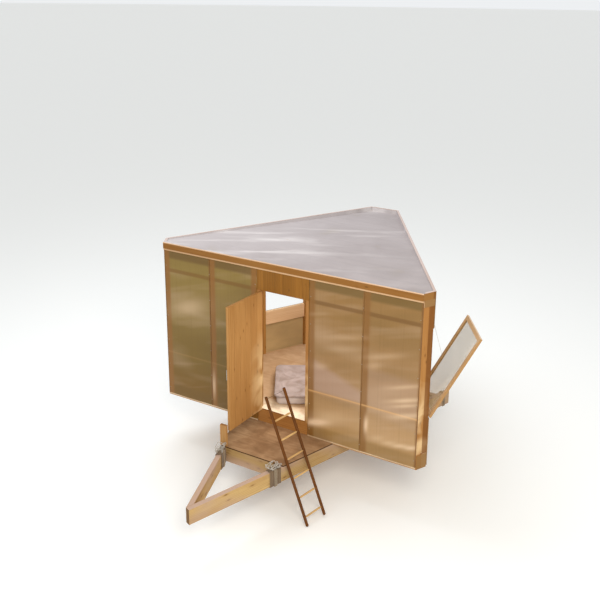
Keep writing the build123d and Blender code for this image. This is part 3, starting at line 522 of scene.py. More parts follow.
def sheet_patch(run, s_low, s_high, z_low, z_high, spans, phase, bright=(), bed_top=None):
    """A sheet's outer face. It bulges by a half sine across its bay, so that it's flat at its screwed
    edges, times three sines up the sheet, 2.7, 1.2 and 0.6 m long, the shorter ones weaker. The marks say
    where the timber behind shows as painted shade, where painted light and a painted highlight lie, and
    where the bed shows through. A bright place is a painted patch of light, bell-shaped about a short line
    that slopes and sways a little."""
    count_s = int((s_high - s_low) / SHEET_CELL) + 2
    count_z = int((z_high - z_low) / SHEET_CELL) + 2
    s = np.linspace(s_low, s_high, count_s)
    s, z = np.meshgrid(s, np.linspace(z_low, z_high, count_z), indexing="ij")
    across = np.sin(math.pi * (s - s_low) / (s_high - s_low))
    waves = np.sin(2.3 * z + phase) + 0.6 * np.sin(5.1 * z + 1.7 * phase + 2 * s)
    waves += 0.35 * np.sin(11 * z - 3 * s)
    out = -BULGE * across * waves
    marked = {mark: np.zeros_like(s) for mark in MARKS}
    # Painted shade of the posts and studs behind, sharp at their left edge and soft at the right.
    for low, high in spans:
        shade = within(s, low, high, SOFT_BLUR if high - low > STUD else SHARP_BLUR)
        marked["post"] = np.maximum(marked["post"], shade * (s > low - SHARP_BLUR))
    # Painted shade where the floor beam, the top plate and the head rail stand behind the sheet.
    foot = FOOT_SHARE * within(z, 0, FLOOR_BEAM_TOP, DEEP_BLUR)
    marked["level"] = np.maximum(within(z, PLATE_SHADOW_LOW, math.inf, SOFT_BLUR), foot)
    marked["rail"] = within(z, *HEAD_RAIL, RAIL_BLUR)
    # A painted highlight: a bright line along the top of the mid rail behind the sheet.
    marked["glow"] = within(z, MID_RAIL_TOP - GLOW_HEIGHT, MID_RAIL_TOP, GLOW_HEIGHT)
    for centre, height, length, depth, strength in bright:
        off = z - height - LIGHT_SLOPE * (s - centre) - LIGHT_SWAY * np.sin(3 * s)
        spot = np.exp(-(((s - centre) / length) ** 2) - (off / depth) ** 2)
        marked["bright"] = marked["bright"] + strength * spot
    if bed_top:
        near, far, strength = bed_top
        edge = near + (s - s_low) * (far - near) / (s_high - s_low)
        above_rail = np.clip((z - MID_RAIL_TOP) / BED_BLUR + 0.5, 0, 1)
        marked["bed"] = strength * above_rail * np.clip((edge - z) / BED_TOP_BLUR + 0.5, 0, 1)
    return run.points(s, out, z), np.stack((s, z), axis=-1), marked


def ramp(finish, value, stops):
    """A colour that goes smoothly through the stops, each a share of the value's range and a colour."""
    made = finish.add("ValToRGB", {"Fac": value})
    made.color_ramp.interpolation = "EASE"
    for _ in stops[2:]:
        made.color_ramp.elements.new(0.5)
    for element, (place, colour) in zip(made.color_ramp.elements, stops):
        element.position, element.color = place, colour
    return made.outputs["Color"]


def ribbed_sheet(name, heights, post, level, rail, glow_share):
    """Translucent ribbed plastic: its tint changes with the height, painted reflections lie on it in broad
    soft streaks, upright ribs run through it, and timber, bedding and daylight show through from behind, the
    timber as painted shade and the daylight as painted light, with a painted highlight along the mid rail."""
    sheet = Finish(name, level, roughness=0.34, shine=0.4, alpha=0.94)
    laid = sheet.laid()
    broad = sheet.noise(laid, (0.6, 1.7, 1), 2.0, 0.3)
    sloped = sheet.add("Mapping", {"Vector": laid, "Rotation": (0, 0, -math.atan(LIGHT_SLOPE))}).outputs[0]
    reflection_streaks = sheet.noise(sloped, (0.7, 4.5, 1), 2.0, 0.2)
    height = sheet.math("ADD", sheet.part(laid, "Y"), sheet.ranged(broad, 0.2, 0.8, -0.18, 0.18))
    stops = [(z / TINT_HEIGHT, tint) for z, tint in heights]
    sheet.colour = ramp(sheet, sheet.ranged(height, 0, TINT_HEIGHT), stops)
    # Painted reflections: pale and darker soft streaks, broad ones and ones that slope along the wall.
    sheet.stain(REFLECTION_PALE, broad, 0.5, 0.75, 0.35)
    sheet.stain(level, broad, 0.48, 0.25, 0.3)
    sheet.stain(REFLECTION_PALE, reflection_streaks, 0.52, 0.75, 0.25)
    sheet.stain(level, reflection_streaks, 0.48, 0.25, 0.2)
    pitch = {"Vector": laid, "Scale": WAVE_CYCLE / RIB_PITCH}
    ribs = sheet.add("TexWave", pitch, wave_type="BANDS", bands_direction="X").outputs["Fac"]
    sheet.stain(darker(level, 0.6), ribs, 0.3, 1.0, 0.08)
    sheet.stain(level, sheet.noise(laid, (38, 0.15, 1), 1.0), 0.5, 0.75, 0.14)
    # Each mark takes the sheet towards a tint: the bed seen through, painted shade of the timbers behind, a
    # painted highlight along the mid rail, and painted light where daylight comes through.
    for mark, tint, share in (
        ("bed", paint(186, 158, 148), 0.42), ("level", level, 0.85), ("rail", rail, 0.8),
        ("post", post, 0.88), ("glow", paint(216, 166, 106), glow_share),
        ("bright", paint(238, 206, 170), 0.9),
    ):
        sheet.stain(tint, sheet.mark(mark), 0, 1, share)
    sheet.bump(ribs, 0.2, 0.0006)
    return sheet


def mottled(name, pale, dark, stretch, span=(0.3, 0.7), detail=4.0, warp=0.0, rough=(), **values):
    """One colour that goes over to another in soft spots. The roughness, where given, follows them."""
    made = Finish(name, pale, **values)
    spots = made.noise(made.place(), stretch, detail, warp)
    made.stain(dark, spots, *span)
    if rough:
        made.feed("Roughness", made.ranged(spots, *rough))
    return made


def hang(node, patches, outer):
    """Makes a wall's ribbed sheets from their outer faces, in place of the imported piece."""
    piece = lay(node + "_ribbed", patches, (outer, inside), MARKS)
    thicken(piece, SHEET_THICK, 1)
    settle(piece, instead_of=(node,))


SHEET_GAP = 0.004
half_gap = SHEET_GAP / 2
sheet_foot = front_low.z
front_head = front_high.z
side_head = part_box("right_sheets")[1].z
door_middle = FRONT_LENGTH / 2
olive_heights = (
    (0.3, paint(120, 86, 12)), (1.0, paint(122, 95, 28)), (1.7, paint(142, 117, 60)),
    (2.3, paint(142, 118, 54)),
)
tan_heights = (
    (0.25, paint(176, 136, 84)), (0.5, paint(184, 146, 100)), (0.95, paint(162, 126, 84)),
    (1.5, paint(158, 121, 76)), (2.1, paint(149, 112, 61)),
)
# The post, level and rail tints are the painted shade of the timbers behind the sheets.
olive = ribbed_sheet("sheet_olive", olive_heights, post=paint(142, 94, 34), level=paint(108, 80, 30),
                     rail=paint(124, 88, 28), glow_share=0.12)
tan = ribbed_sheet("sheet_tan", tan_heights, post=paint(134, 90, 34), level=paint(112, 86, 36),
                   rail=paint(116, 80, 32), glow_share=0.75)
# The sheets' inner face glows faintly in its own colour: painted light for the daylight that comes through.
inside_tints = paint(184, 156, 110), darker(paint(184, 156, 110), 0.72)
inside = mottled("sheet_inside_glow", *inside_tints, (1.4, 1.4, 3.5), roughness=0.5, emission_strength=0.1)
inside.feed("Emission Color", inside.colour)
left_edges = [0, door_middle - FRONT_STUD, door_middle - DOOR_HALF]
right_edges = [FRONT_LENGTH - s for s in reversed(left_edges)]
front_spans = [(s, s + STUD_SHADE) for s in (0, left_edges[1], right_edges[0], right_edges[1])]
front_spans += [(left_edges[2] - STUD_SHADE, left_edges[2]), (FRONT_LENGTH - EDGE_SHADE, FRONT_LENGTH)]
# The bed's upper edge behind each bay: its height at the bay's left and right, and how strongly it shows.
right_beds = ((1.42, 1.08, 1.0), (1.5, 1.42, 0.4))
for node, edges, finish, bed_tops in (
    ("front_sheets_left", left_edges, olive, (None, None)),
    ("front_sheets_right", right_edges, tan, right_beds),
):
    patches = []
    for low, high, bed_top in zip(edges, edges[1:], bed_tops):
        ends = (low + half_gap, high - half_gap, sheet_foot, front_head)
        patches.append(sheet_patch(front_run, *ends, front_spans, 1.3 * low, FRONT_BRIGHT, bed_top))
    hang(node, patches, finish)

bay_edges = [0] + [STUD / 2 + STUD_STEP * i for i in range(1, 5)] + [SIDE_LENGTH]
# Each side wall's window: its bay from the front, its sill and its head.
openings = {
    "right": (0, DECK_LEVEL + 0.72, DECK_LEVEL + 2.068),
    "left": (2, DECK_LEVEL + 1.0, DECK_LEVEL + 2.15),
}


def from_front(run, s):
    """Turns a distance from the front corner into a distance along a side wall."""
    return s if run is right_run else SIDE_LENGTH - s


for side, run, finish in (("right", right_run, tan), ("left", left_run, olive)):
    open_bay, sill, head = openings[side]
    middles = [STUD / 2] + bay_edges[1:-1] + [SIDE_LENGTH - STUD / 2]
    spans = [(from_front(run, s) - STUD / 2, from_front(run, s) + STUD / 2 + SHARP_BLUR) for s in middles]
    patches = []
    for bay, (low, high) in enumerate(zip(bay_edges, bay_edges[1:])):
        ends = sorted((from_front(run, low + half_gap), from_front(run, high - half_gap)))
        heights = [(sheet_foot, sill), (head, side_head)] if bay == open_bay else [(sheet_foot, side_head)]
        patches += [sheet_patch(run, *ends, *levels, spans, 0.9 * bay) for levels in heights]
    hang(side + "_sheets", patches, finish)
mitre = SHEET_THICK * TAN30
rear_ends = (mitre, APEX_FLAT - mitre, sheet_foot, side_head)
rear_spans = [(0, STUD), (APEX_FLAT - STUD, APEX_FLAT)]
hang("rear_sheet", [sheet_patch(rear_run, *rear_ends, rear_spans, phase=0.4)], olive)


# Sheet fixings
# A dark cover strip closes each joint, a pale channel caps the sheets' lower edge against the rain, and
# screws with wide washers hold the sheets to the posts.
COVER_WIDTH = 0.014
COVER_PROUD = 0.003
CHANNEL_HEIGHT = 0.016
CHANNEL_PROUD = 0.0025
CHANNEL_BACK = 0.006
CHANNEL_UNDER = 0.001
WASHER_RADII = np.array((0.0, 0.0030, 0.0038, 0.0040, 0.0070, 0.0076))
WASHER_HEIGHTS = np.array((0.0050, 0.0050, 0.0040, 0.0024, 0.0018, 0.0))
WASHER_SIDES = 12
SCREW_STEP = 0.42
LOWEST_SCREW = 0.12
EDGE_IN = 0.03
SIDE_EDGE_IN = 0.036


def profile_patch(run, s, o, z):
    """A patch from arrays of s along the run, o inwards and z up, spread to one grid."""
    s, o, z = np.broadcast_arrays(s, o, z)
    return run.points(s, o, z), np.stack((s, z), axis=-1), {}


def cover(run, s, z_low, z_high):
    """An upright strip with bevelled edges over a joint."""
    half = COVER_WIDTH / 2
    across = np.array((-half, -half + COVER_PROUD / 2, half - COVER_PROUD / 2, half))
    out = np.array((0, -COVER_PROUD, -COVER_PROUD, 0))
    heights = np.array((z_low, z_high))
    return profile_patch(run, s + across[:, None], out[:, None], heights[None, :])


def channel(run, s_low, s_high):
    """A channel along the sheets' foot, folded under them."""
    heights = sheet_foot + np.array((
        -CHANNEL_UNDER, -CHANNEL_UNDER, CHANNEL_HEIGHT, CHANNEL_HEIGHT + CHANNEL_PROUD))
    out = np.array((SHEET_THICK / 2, -CHANNEL_PROUD, -CHANNEL_PROUD, 0))
    return profile_patch(run, np.array((s_low, s_high))[:, None], out[None, :], heights[None, :])


def washer(run, s, z, proud):
    """A screw head on its washer, a profile turned about the screw."""
    turn = np.linspace(0, 2 * math.pi, WASHER_SIDES, endpoint=False)
    radius = WASHER_RADII[:, None]
    out = -proud - WASHER_HEIGHTS[:, None] + 0 * turn
    return profile_patch(run, s + radius * np.cos(turn), out, z - radius * np.sin(turn))


covers, channels, washers = [], [], []
front_joints = [left_edges[1], right_edges[1]]
for s in front_joints + [COVER_WIDTH / 2, FRONT_LENGTH - COVER_WIDTH / 2]:
    covers.append(cover(front_run, s, sheet_foot + CHANNEL_HEIGHT, front_head))
screw_levels = np.arange(sheet_foot + LOWEST_SCREW, front_head, SCREW_STEP)
for z in screw_levels:
    washers += [washer(front_run, s, z, COVER_PROUD) for s in front_joints]
    for s in (EDGE_IN, door_middle - DOOR_HALF - EDGE_IN):
        washers += [washer(front_run, at, z, 0.0) for at in (s, FRONT_LENGTH - s)]
channels.append(channel(front_run, 0, door_middle - DOOR_HALF))
channels.append(channel(front_run, door_middle + DOOR_HALF, FRONT_LENGTH))
for side, run in (("right", right_run), ("left", left_run)):
    open_bay, sill, head = openings[side]
    for s in bay_edges[1:-1]:
        covers.append(cover(run, from_front(run, s), sheet_foot + CHANNEL_HEIGHT, side_head))
        washers += [washer(run, from_front(run, s), z, COVER_PROUD) for z in screw_levels]
    for s in (SIDE_EDGE_IN, SIDE_LENGTH - SIDE_EDGE_IN):
        clear = open_bay != 0 or s > STUD_STEP
        levels = [z for z in screw_levels if clear or not sill < z < head]
        washers += [washer(run, from_front(run, s), z, 0.0) for z in levels]
    channels.append(channel(run, CHANNEL_BACK, SIDE_LENGTH - CHANNEL_BACK))
channels.append(channel(rear_run, 0, APEX_FLAT))

cover_tints = paint(138, 98, 48), paint(112, 74, 32)
channel_tints = paint(222, 196, 160), paint(186, 152, 112)
screw_tints = paint(176, 160, 138), paint(130, 116, 98)
for name, patches, slot, ring, finish in (
    ("joint_covers", covers, "translucent_sheet", False,
     mottled("joint_cover", *cover_tints, (9, 9, 3), roughness=0.5, shine=0.4)),
    ("foot_channels", channels, "translucent_sheet", False,
     mottled("foot_channel", *channel_tints, (3, 3, 20), roughness=0.4, shine=0.5)),
    ("sheet_screws", washers, "steel", True,
     mottled("screw_steel", *screw_tints, (300, 300, 300), roughness=0.45, shine=0.5, metallic=0.6)),
):
    settle(lay(name, patches, (finish,), ring=ring, smooth=ring))


# Lintel
# Eight narrow boards stand side by side over the doorway, tongued together and nailed to the head, with a
# small bevel at each joint.
LINTEL_BOARDS = 8
BEVEL = 0.004
LINTEL_GROOVE = 0.0028
TONE_SEED = 7
lintel_low, lintel_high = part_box("lintel_board")
board_width = (lintel_high.x - lintel_low.x) / LINTEL_BOARDS
across, depth, tones = [], [], []
tone_order = np.random.default_rng(TONE_SEED).permutation(LINTEL_BOARDS) / (LINTEL_BOARDS - 1)
for board in range(LINTEL_BOARDS):
    start = board * board_width
    end = start + board_width
    across += [start, start + BEVEL, end - BEVEL, end - BEVEL / 20]
    depth += [LINTEL_GROOVE, 0, 0, LINTEL_GROOVE]
    tones += [tone_order[board]] * 4
s = np.array(across)[:, None] + door_middle + lintel_low.x - MIDDLE_X
heights = np.array((lintel_low.z, lintel_high.z))
grid, uv, _ = profile_patch(front_run, s, np.array(depth)[:, None], heights[None, :])
tone_grid = np.broadcast_to(np.array(tones)[:, None], (len(tones), 2)).copy()
lintel_tints = paint(160, 108, 40), paint(126, 82, 26)
lintel_wood = timber("lintel_wood", *lintel_tints, upright=True, knots=0.1, tone="tone")
piece = lay("lintel_boards", [(grid, uv, {"tone": tone_grid})], (lintel_wood,), ("tone",), smooth=False)
thicken(piece, SHEET_THICK - LINTEL_GROOVE)
settle(piece, instead_of=("lintel_board",))


# Roof membrane
# A grey-white sheet lies loose between the curbs and falls towards the rear. It is turned up against the
# curbs, and in front it's dressed over the curb's top. It has settled into shallow waves, with dust where
# water has stood.
CURB_THICK = 0.038
FRONT_OVERHANG = 0.02
FRONT_DROP = 0.012
REAR_DROP = 0.070
LAP = 0.003
LAP_DROP = 0.012
LAP_PROUD = 0.0005
FILM = 0.0025
FILM_ROWS = 150
FILM_COLUMNS = 121
FILM_WAVE = 0.0022
FILM_CLEAR = 1.5 * FILM
UPSTAND_GAP = 0.002
UPSTAND_BEND = 0.06
FLAT_AT_ENDS = 0.12
FLAT_AT_SIDES = 0.08


def ripples(x, y):
    """Level waves 24 and 15 cm long from front to rear, whose crests wander by sines of x, and longer
    slanting ones of about 70 cm, in shares of their height."""
    short = np.sin(26 * y + 1.4 * np.sin(1.3 * x)) + 0.6 * np.sin(41 * y + 2.1 * np.sin(0.9 * x + 1) + x)
    return short + 0.8 * np.sin(9 * y - 0.8 * x) + 0.4 * np.sin(5.5 * x + 7 * y)


def rising(value, length):
    """From 0 to 1 over a length, and level after it."""
    return np.clip(value / length, 0, 1)


curb_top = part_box("roof_curb_front")[1].z
inner_half = SIDE / 2 - CURB_THICK / TAN30
inner_flat = CORNER_FLAT * (1 - CURB_THICK / WALL) + 2 * TAN30 * CURB_THICK
y = np.linspace(CURB_THICK + LAP, REAR_DEPTH - CURB_THICK - FILM_CLEAR, FILM_ROWS)
from_curb = (y - CURB_THICK) / TAN60
inner_width = np.minimum(inner_half - inner_flat + from_curb, inner_half - from_curb) - FILM_CLEAR
share = (y - CURB_THICK) / (REAR_DEPTH - 2 * CURB_THICK)
z = curb_top - FRONT_DROP - share * (REAR_DROP - FRONT_DROP)
lap_front = -FRONT_OVERHANG - LAP_PROUD
lap_y = np.array((lap_front, lap_front, -FRONT_OVERHANG / 2, CURB_THICK, CURB_THICK + LAP))
lap_z = curb_top + np.array((-LAP_DROP, LAP * 0.8, LAP, LAP, 0.0))
y = np.concatenate((lap_y, y, y[-1:]))
z = np.concatenate((lap_z, z, (curb_top - UPSTAND_GAP,)))
half_width = np.concatenate((np.full(len(lap_y), FRONT_LENGTH / 2), inner_width, inner_width[-1:]))[:, None]
across = np.concatenate(((-1,), np.linspace(-1, 1, FILM_COLUMNS), (1,)))
x = half_width * across
depth = np.broadcast_to(y[:, None], x.shape)
held = rising(depth - CURB_THICK, FLAT_AT_ENDS) * rising(REAR_DEPTH - depth, FLAT_AT_ENDS)
held = held * rising((1 - np.abs(across)) * half_width, FLAT_AT_SIDES)
height = z[:, None] + FILM_WAVE * ripples(x, depth) * held
turned_up = rising(y - CURB_THICK - LAP, UPSTAND_BEND) * (curb_top - UPSTAND_GAP - z)
height[:, 0] += turned_up
height[:, -1] += turned_up
# The lap's front face, where it drops over the curb, takes a painted highlight.
lap_highlight = np.broadcast_to((y < -FRONT_OVERHANG).astype(float)[:, None], x.shape).copy()
film_grid = np.stack((MIDDLE_X + x, FRONT_Y + depth, height), axis=-1)[:, ::-1]
film_uv = np.stack((x, depth), axis=-1)[:, ::-1]

film = Finish("membrane_film", paint(170, 160, 158), shine=0.3)
place = film.place()
turned = film.add("Mapping", {"Vector": place, "Rotation": (0, 0, -CAMERA_HEADING)}, vector_type="VECTOR")
streaks = film.noise(turned.outputs[0], (0.5, 3.2, 1), 2.0, 0.4)
dust = film.noise(place, (1.6, 1.6, 1.6), 6.0, 0.4)
east = film.part(place, "X")
sun = film.math("MULTIPLY", film.ranged(streaks, 0.54, 0.74), film.ranged(east, 1.4, -0.4, 0.1, 1.0))
film.stain(paint(160, 150, 148), dust, 0.35, 0.7)
film.stain(paint(160, 148, 130), dust, 0.64, 0.8, 0.5)
film.stain(paint(212, 204, 200), sun, 0, 1)
film.stain(paint(196, 188, 186), east, 0.5, -2.0, 0.45)
# Painted highlight on the lap's front face.
film.stain(paint(222, 184, 148), film.mark("edge"), 0, 1)
film.feed("Roughness", film.ranged(dust, 0.3, 0.7, 0.55, 0.72))
film.bump(streaks, 0.3, 0.004)
piece = lay("roof_film", [(film_grid, film_uv, {"edge": lap_highlight})], (film,), ("edge",))
thicken(piece, FILM)
settle(piece, instead_of=("roof_membrane",))


# Door
# Narrow boards on a frame with a middle rail, planed and oiled. Galvanised butt hinges carry it on the jamb,
# and it has a bent pull handle. Sun lies on its lower part near the hinges.
DOOR_SUN_DEPTHS = (0.52, 0.8)
door_tints = paint(192, 142, 82), paint(158, 108, 52)
door_wood = timber("door_wood", *door_tints, upright=True, lit=0.8, lit_depths=DOOR_SUN_DEPTHS)
dress(door_wood, "door_boards", "door_frame")
steel_tints = paint(186, 186, 182), paint(142, 140, 134)
steel = mottled("galvanised_steel", *steel_tints, (90, 90, 90), (0.35, 0.65), detail=3.0,
                rough=(0.3, 0.7, 0.3, 0.5), shine=0.5, metallic=0.9)
dress(steel, "door_hinge_leaves", "door_hinge_pins", "door_handle", "flap_hinges")


# Window leaf
# A slim wooden frame grooved round a clear sheet, hung on two hinges at its foot. A thin cord from a peg on
# the stud holds it open.
leaf_tints = paint(214, 174, 122), paint(182, 138, 86)
leaf_wood = timber("leaf_wood", *leaf_tints, RIGHT_WALL, top=paint(222, 196, 170), knots=0.08)
dress(leaf_wood, "flap_frame", "flap_peg")
pane_tints = paint(168, 146, 100), paint(206, 188, 152)
pane = mottled("clear_sheet", *pane_tints, (2.2, 2.2, 2.2), (0.4, 0.7), detail=5.0, warp=0.8,
               rough=(0.4, 0.7, 0.06, 0.22), shine=0.6, alpha=0.34)
dress(pane, "flap_sheet")


# Wraps and lashings
# Where the arms meet the main beams, strips of sacking are wound round the timber, and rope is lashed over
# them in tight turns and tied off on top. The main beams' rear ends have bare rope turns.
def fibre_rope(name, pale, dark):
    """Twisted natural fibre: fine hairs along it and dirt in patches."""
    rope = Finish(name, pale, roughness=0.9, shine=0.15)
    place = rope.place()
    hairs = rope.noise(place, (420, 420, 420), 3.0)
    rope.stain(dark, hairs, 0.35, 0.7)
    rope.stain(darker(dark, 0.7), rope.noise(place, (12, 12, 12)), 0.5, 0.75, 0.5)
    rope.bump(hairs, 0.5, 0.0012)
    return rope


def places(mesh):
    """A mesh's points, one to a row."""
    flat = np.empty(len(mesh.vertices) * 3)
    mesh.vertices.foreach_get("co", flat)
    return flat.reshape(-1, 3)


def rounded_loop(half_wide, half_high, radius, count):
    """Evenly spaced points round a rectangle with rounded corners, from the middle of its right side."""
    turn = np.linspace(0, math.pi / 2, 9)
    corners = ((1, 1, 0), (-1, 1, 1), (-1, -1, 2), (1, -1, 3))
    path = [np.array(((half_wide, 0.0),))]
    for sign_x, sign_y, quarter in corners:
        angle = turn + quarter * math.pi / 2
        centre = np.array((sign_x * (half_wide - radius), sign_y * (half_high - radius)))
        path.append(centre + radius * np.stack((np.cos(angle), np.sin(angle)), axis=-1))
    path = np.concatenate(path + [path[0]])
    length = np.concatenate(((0,), np.cumsum(np.linalg.norm(np.diff(path, axis=0), axis=1))))
    wanted = np.linspace(0, length[-1], count, endpoint=False)
    return np.stack([np.interp(wanted, length, path[:, axis]) for axis in (0, 1)], axis=-1)


class Girdle(Run):
    """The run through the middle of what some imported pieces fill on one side, with half its sizes."""

    def __init__(self, name, side, heading):
        super().__init__(heading)
        points = places(nodes[name].data)
        on_right = points[:, 0] > 0
        local = points[on_right if side == "right" else ~on_right] @ self.axes.T
        low, high = local.min(axis=0), local.max(axis=0)
        self.start = (low + high) / 2 @ self.axes
        self.half = (high - low) / 2


ROPE_RADIUS = 0.007
ROPE_TURNS = 3
ROPE_PITCH = 0.017
ROPE_STEP = 0.0045
ROPE_CORNER = 0.012
STRANDS = 3
STRAND_SIDES = 6
STRAND_LAY = 3.4
STRAND_OUT = 0.5
STRAND_THICK = 0.56
STRAND_TIP = 0.15
ACROSS_ROPES = (0.31, 0.52, 0.79)
WOUND_TURNS = 8
WOUND_FOLD = 0.003
FOLD_SHARE = 0.12
PUCKER = 0.0007
SACK_THICK = 0.003
WRAP_ROUND = 132
WRAP_LONG = 97
KNOT_POINTS = 110
KNOT_LOOPS = 3
KNOT_ROPE = 0.005
KNOT_REACH = (0.11, 0.07, 0.075)
KNOT_SEED = 11
WEAVE_PITCH = 0.003


def strands(path, radius):
    """The three strands of a twisted rope about a path: each is a thin tube whose middle winds round it
    at half the rope's radius, and which tapers at the ends."""
    tangent = np.gradient(path, axis=0)
    step = np.linalg.norm(tangent, axis=1)
    tangent /= step[:, None]
    travelled = np.cumsum(step)
    first = np.cross(tangent, ACROSS_ROPES)
    first /= np.linalg.norm(first, axis=1)[:, None]
    second = np.cross(tangent, first)
    ends = np.minimum(travelled - travelled[0], travelled[-1] - travelled)
    taper = np.clip(ends / radius, STRAND_TIP, 1)[:, None]
    turn = np.linspace(0, 2 * math.pi, STRAND_SIDES, endpoint=False)
    ring = first[:, None] * np.cos(turn)[:, None] + second[:, None] * np.sin(turn)[:, None]
    patches = []
    for strand in range(STRANDS):
        angle = travelled * math.pi / (radius * STRAND_LAY) + strand * 2 * math.pi / STRANDS
        out = np.cos(angle)[:, None] * first + np.sin(angle)[:, None] * second
        centre = path + out * radius * STRAND_OUT
        grid = centre[:, None] + ring * (radius * STRAND_THICK * taper)[:, None]
        patches.append((grid[:, ::-1], np.zeros(grid.shape[:2] + (2,)), {}))
    return patches


def wound_sacking(wrap):
    """Sacking wound in even turns. At the start of a turn it rises by a fold's height over a short ramp,
    then it sags by a quarter of that, as a squared half sine, and nine small puckers run round it."""
    loop = rounded_loop(wrap.half[1], wrap.half[2], ROPE_CORNER, WRAP_ROUND)
    long = np.linspace(-wrap.half[0], wrap.half[0], WRAP_LONG)[:, None]
    wound = (long - long[0]) / (long[-1] - long[0]) * WOUND_TURNS
    lean = np.linspace(0, 1, WRAP_ROUND, endpoint=False)
    phase = (wound + lean) % 1
    sag = 0.25 * np.sin(math.pi * phase) ** 2
    sunk = WOUND_FOLD * np.where(phase < FOLD_SHARE, 1 - phase / FOLD_SHARE, sag)
    sunk = sunk + PUCKER * np.sin(9 * lean * 2 * math.pi + 3 * wound)
    grid = wrap.points(long, loop[:, 0] * (1 - sunk / wrap.half[1]), loop[:, 1] * (1 - sunk / wrap.half[2]))
    girth = lean * 4 * wrap.half[1:].sum()
    return grid, np.stack(np.broadcast_arrays(girth, long), axis=-1), {}


def lashing(ropes):
    """The path of tight rope turns round a timber, a rope's thickness apart."""
    half = ropes.half - ROPE_RADIUS
    per_turn = int(4 * (half[1] + half[2]) / ROPE_STEP)
    path = np.tile(rounded_loop(half[1], half[2], ROPE_CORNER, per_turn), (ROPE_TURNS, 1))
    along = np.linspace(-ROPE_TURNS / 2, ROPE_TURNS / 2, len(path)) * ROPE_PITCH
    return ropes.points(along, path[:, 0], path[:, 1])


def knot_loop(arm):
    """A loose closed loop of a knot on an arm: in each direction the sum of three random waves round the
    loop, the faster ones weaker, pressed by a tanh to stay within the knot's reach."""
    t = np.linspace(0, 2 * math.pi, KNOT_POINTS, endpoint=False)
    swing = np.zeros((3, KNOT_POINTS))
    for turns in (1, 2, 3):
        waves = shake.normal(size=(3, 2)) / turns ** 0.7
        swing += waves[:, :1] * np.cos(turns * t) + waves[:, 1:] * np.sin(turns * t)
    swing = np.tanh(0.7 * swing)
    up = arm.half[2] + KNOT_ROPE + KNOT_REACH[2] * (1 + swing[2]) / 2
    closed = arm.points(KNOT_REACH[0] * swing[0], KNOT_REACH[1] * swing[1], up)
    return np.concatenate((closed, closed[:3]))


sacking = Finish("sacking", paint(142, 120, 94), roughness=0.95, shine=0.1, sheen_weight=0.2)
laid = sacking.laid()
threads = {"Vector": laid, "Scale": WAVE_CYCLE / WEAVE_PITCH, "Distortion": 1.5, "Detail": 1.0}
weave = sacking.add("TexWave", threads, wave_type="BANDS", bands_direction="X").outputs["Fac"]
sacking.stain(paint(92, 72, 52), sacking.noise(laid, (3, 110, 1)), 0.35, 0.65)
sacking.stain(paint(92, 74, 58), sacking.noise(sacking.place(), (9, 9, 9), 5.0), 0.5, 0.75, 0.6)
sacking.stain(paint(80, 66, 52), weave, 0, 1, 0.15)
sacking.bump(weave, 0.4, 0.001)
dull_rope = fibre_rope("dull_rope", paint(176, 160, 138), paint(136, 118, 96))
pale_rope = fibre_rope("pale_rope", paint(206, 200, 190), paint(160, 152, 140))
lashings, knots_tied = [], []
shake = np.random.default_rng(KNOT_SEED)
for side, heading in (("right", RIGHT_BEAM), ("left", LEFT_BEAM)):
    wrap = Girdle("arm_sleeves", side, heading)
    piece = lay("sacking_" + side, [wound_sacking(wrap)], (sacking,), ring=True)
    thicken(piece, SACK_THICK)
    settle(piece, instead_of=("arm_sleeves",) if side == "right" else ())
    arm = Girdle("arm_ropes", side, heading)
    for ropes in (arm, Girdle("rear_ropes", side, heading)):
        lashings += strands(lashing(ropes), ROPE_RADIUS)
    for _ in range(KNOT_LOOPS):
        knots_tied += strands(knot_loop(arm), KNOT_ROPE)
piece = lay("rope_lashings", lashings, (dull_rope,), ring=True)
settle(piece, instead_of=("arm_ropes", "rear_ropes"))
settle(lay("rope_knots", knots_tied, (pale_rope,), ring=True))
dress(fibre_rope("thin_cord", paint(92, 68, 46), paint(62, 44, 30)), "ladder_string")
dress(fibre_rope("stay_cord", paint(214, 206, 192), paint(178, 168, 150)), "flap_stay")


# Ladder
# Two round poles, stained brown, with peeled round rungs let into them and a thin cord tied across the top.
RUNG_HEADING = 70.0
pole_tints = paint(112, 62, 2), paint(72, 38, 2)
dress(timber("ladder_pole", *pole_tints, upright=True, knots=0.1, gloss=0.1), "ladder_rails")
dress(timber("ladder_rung", paint(214, 176, 116), paint(176, 132, 78), RUNG_HEADING), "ladder_rungs")


# Bed
# A foam mattress in a pale cover lies on the floor, and over it a down quilt in a creased cotton cover. Both
# covers are sewn bags, swollen by what is in them.
SIMULATED_FRAMES = 20


def cotton(name, pale, shade, crease):
    """Woven cotton: a fine weave, soft creases with painted shade in them, and a faint sheen."""
    cloth = Finish(name, pale, roughness=0.88, shine=0.2, sheen_weight=0.25)
    place = cloth.place()
    creases = cloth.noise(place, (5, 5, 5), 4.0, 1.0)
    threads = cloth.noise(place, (700, 700, 700), 2.0)
    # Painted shade in the creases.
    cloth.stain(shade, creases, 0.35, 0.7)
    cloth.bump(cloth.math("ADD", creases, cloth.math("MULTIPLY", threads, 0.05)), crease, 0.02)
    return cloth


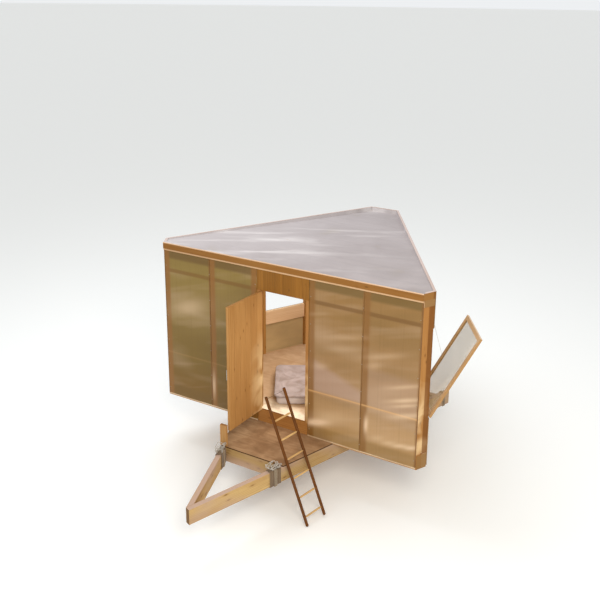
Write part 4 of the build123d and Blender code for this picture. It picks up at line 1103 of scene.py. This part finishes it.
def stuffed(name, node, finish, cell, smaller, pressure, spare, cap):
    """A cover stuffed from within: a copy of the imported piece, a little smaller and with even faces, has
    spare cloth and swells under pressure. No point moves further than the cap."""
    points = places(nodes[node].data)
    middle = (points.min(axis=0) + points.max(axis=0)) / 2
    mesh = nodes[node].data.copy()
    mesh.transform(Matrix.Translation(middle) @ Matrix.Diagonal((*smaller, 1)) @ Matrix.Translation(-middle))
    made = bpy.data.objects.new(name, mesh)
    bpy.context.scene.collection.objects.link(made)

    def worked_out():
        """The mesh as the modifiers leave it. They are taken off."""
        graph = bpy.context.evaluated_depsgraph_get()
        result = bpy.data.meshes.new_from_object(made.evaluated_get(graph))
        made.modifiers.clear()
        return result

    remesh = made.modifiers.new("even", "REMESH")
    remesh.mode = "VOXEL"
    remesh.voxel_size = cell
    even = worked_out()
    made.data = even
    cloth = made.modifiers.new("cloth", "CLOTH")
    cloth.settings.use_pressure = True
    cloth.settings.uniform_pressure_force = pressure
    cloth.settings.shrink_min = -spare
    cloth.settings.effector_weights.gravity = 0
    for frame_number in range(1, SIMULATED_FRAMES + 1):
        bpy.context.scene.frame_set(frame_number)
    swollen = worked_out()
    bpy.context.scene.frame_set(1)
    before = places(even)
    move = places(swollen) - before
    length = np.maximum(np.linalg.norm(move, axis=1), 1e-9)
    capped = before + move * (np.minimum(length, cap) / length)[:, None]
    even.vertices.foreach_set("co", capped.ravel())
    even.update()
    even.polygons.foreach_set("use_smooth", [True] * len(even.polygons))
    even.materials.clear()
    even.materials.append(finish.material)
    smooth = made.modifiers.new("smooth", "SUBSURF")
    smooth.levels = smooth.render_levels = 1
    return made


mattress_cloth = cotton("mattress_cloth", paint(208, 196, 192), paint(192, 178, 172), crease=0.15)
quilt_cloth = cotton("quilt_cloth", paint(184, 168, 164), paint(152, 134, 124), crease=0.7)
piece = stuffed("mattress_cover", "mattress", mattress_cloth, cell=0.024, smaller=(0.995, 0.995, 0.93),
                pressure=3.0, spare=0.01, cap=0.012)
settle(piece, instead_of=("mattress",))
piece = stuffed("quilt", "duvet", quilt_cloth, cell=0.018, smaller=(0.995, 0.995, 0.76),
                pressure=2.0, spare=0.12, cap=0.016)
settle(piece, instead_of=("duvet",))
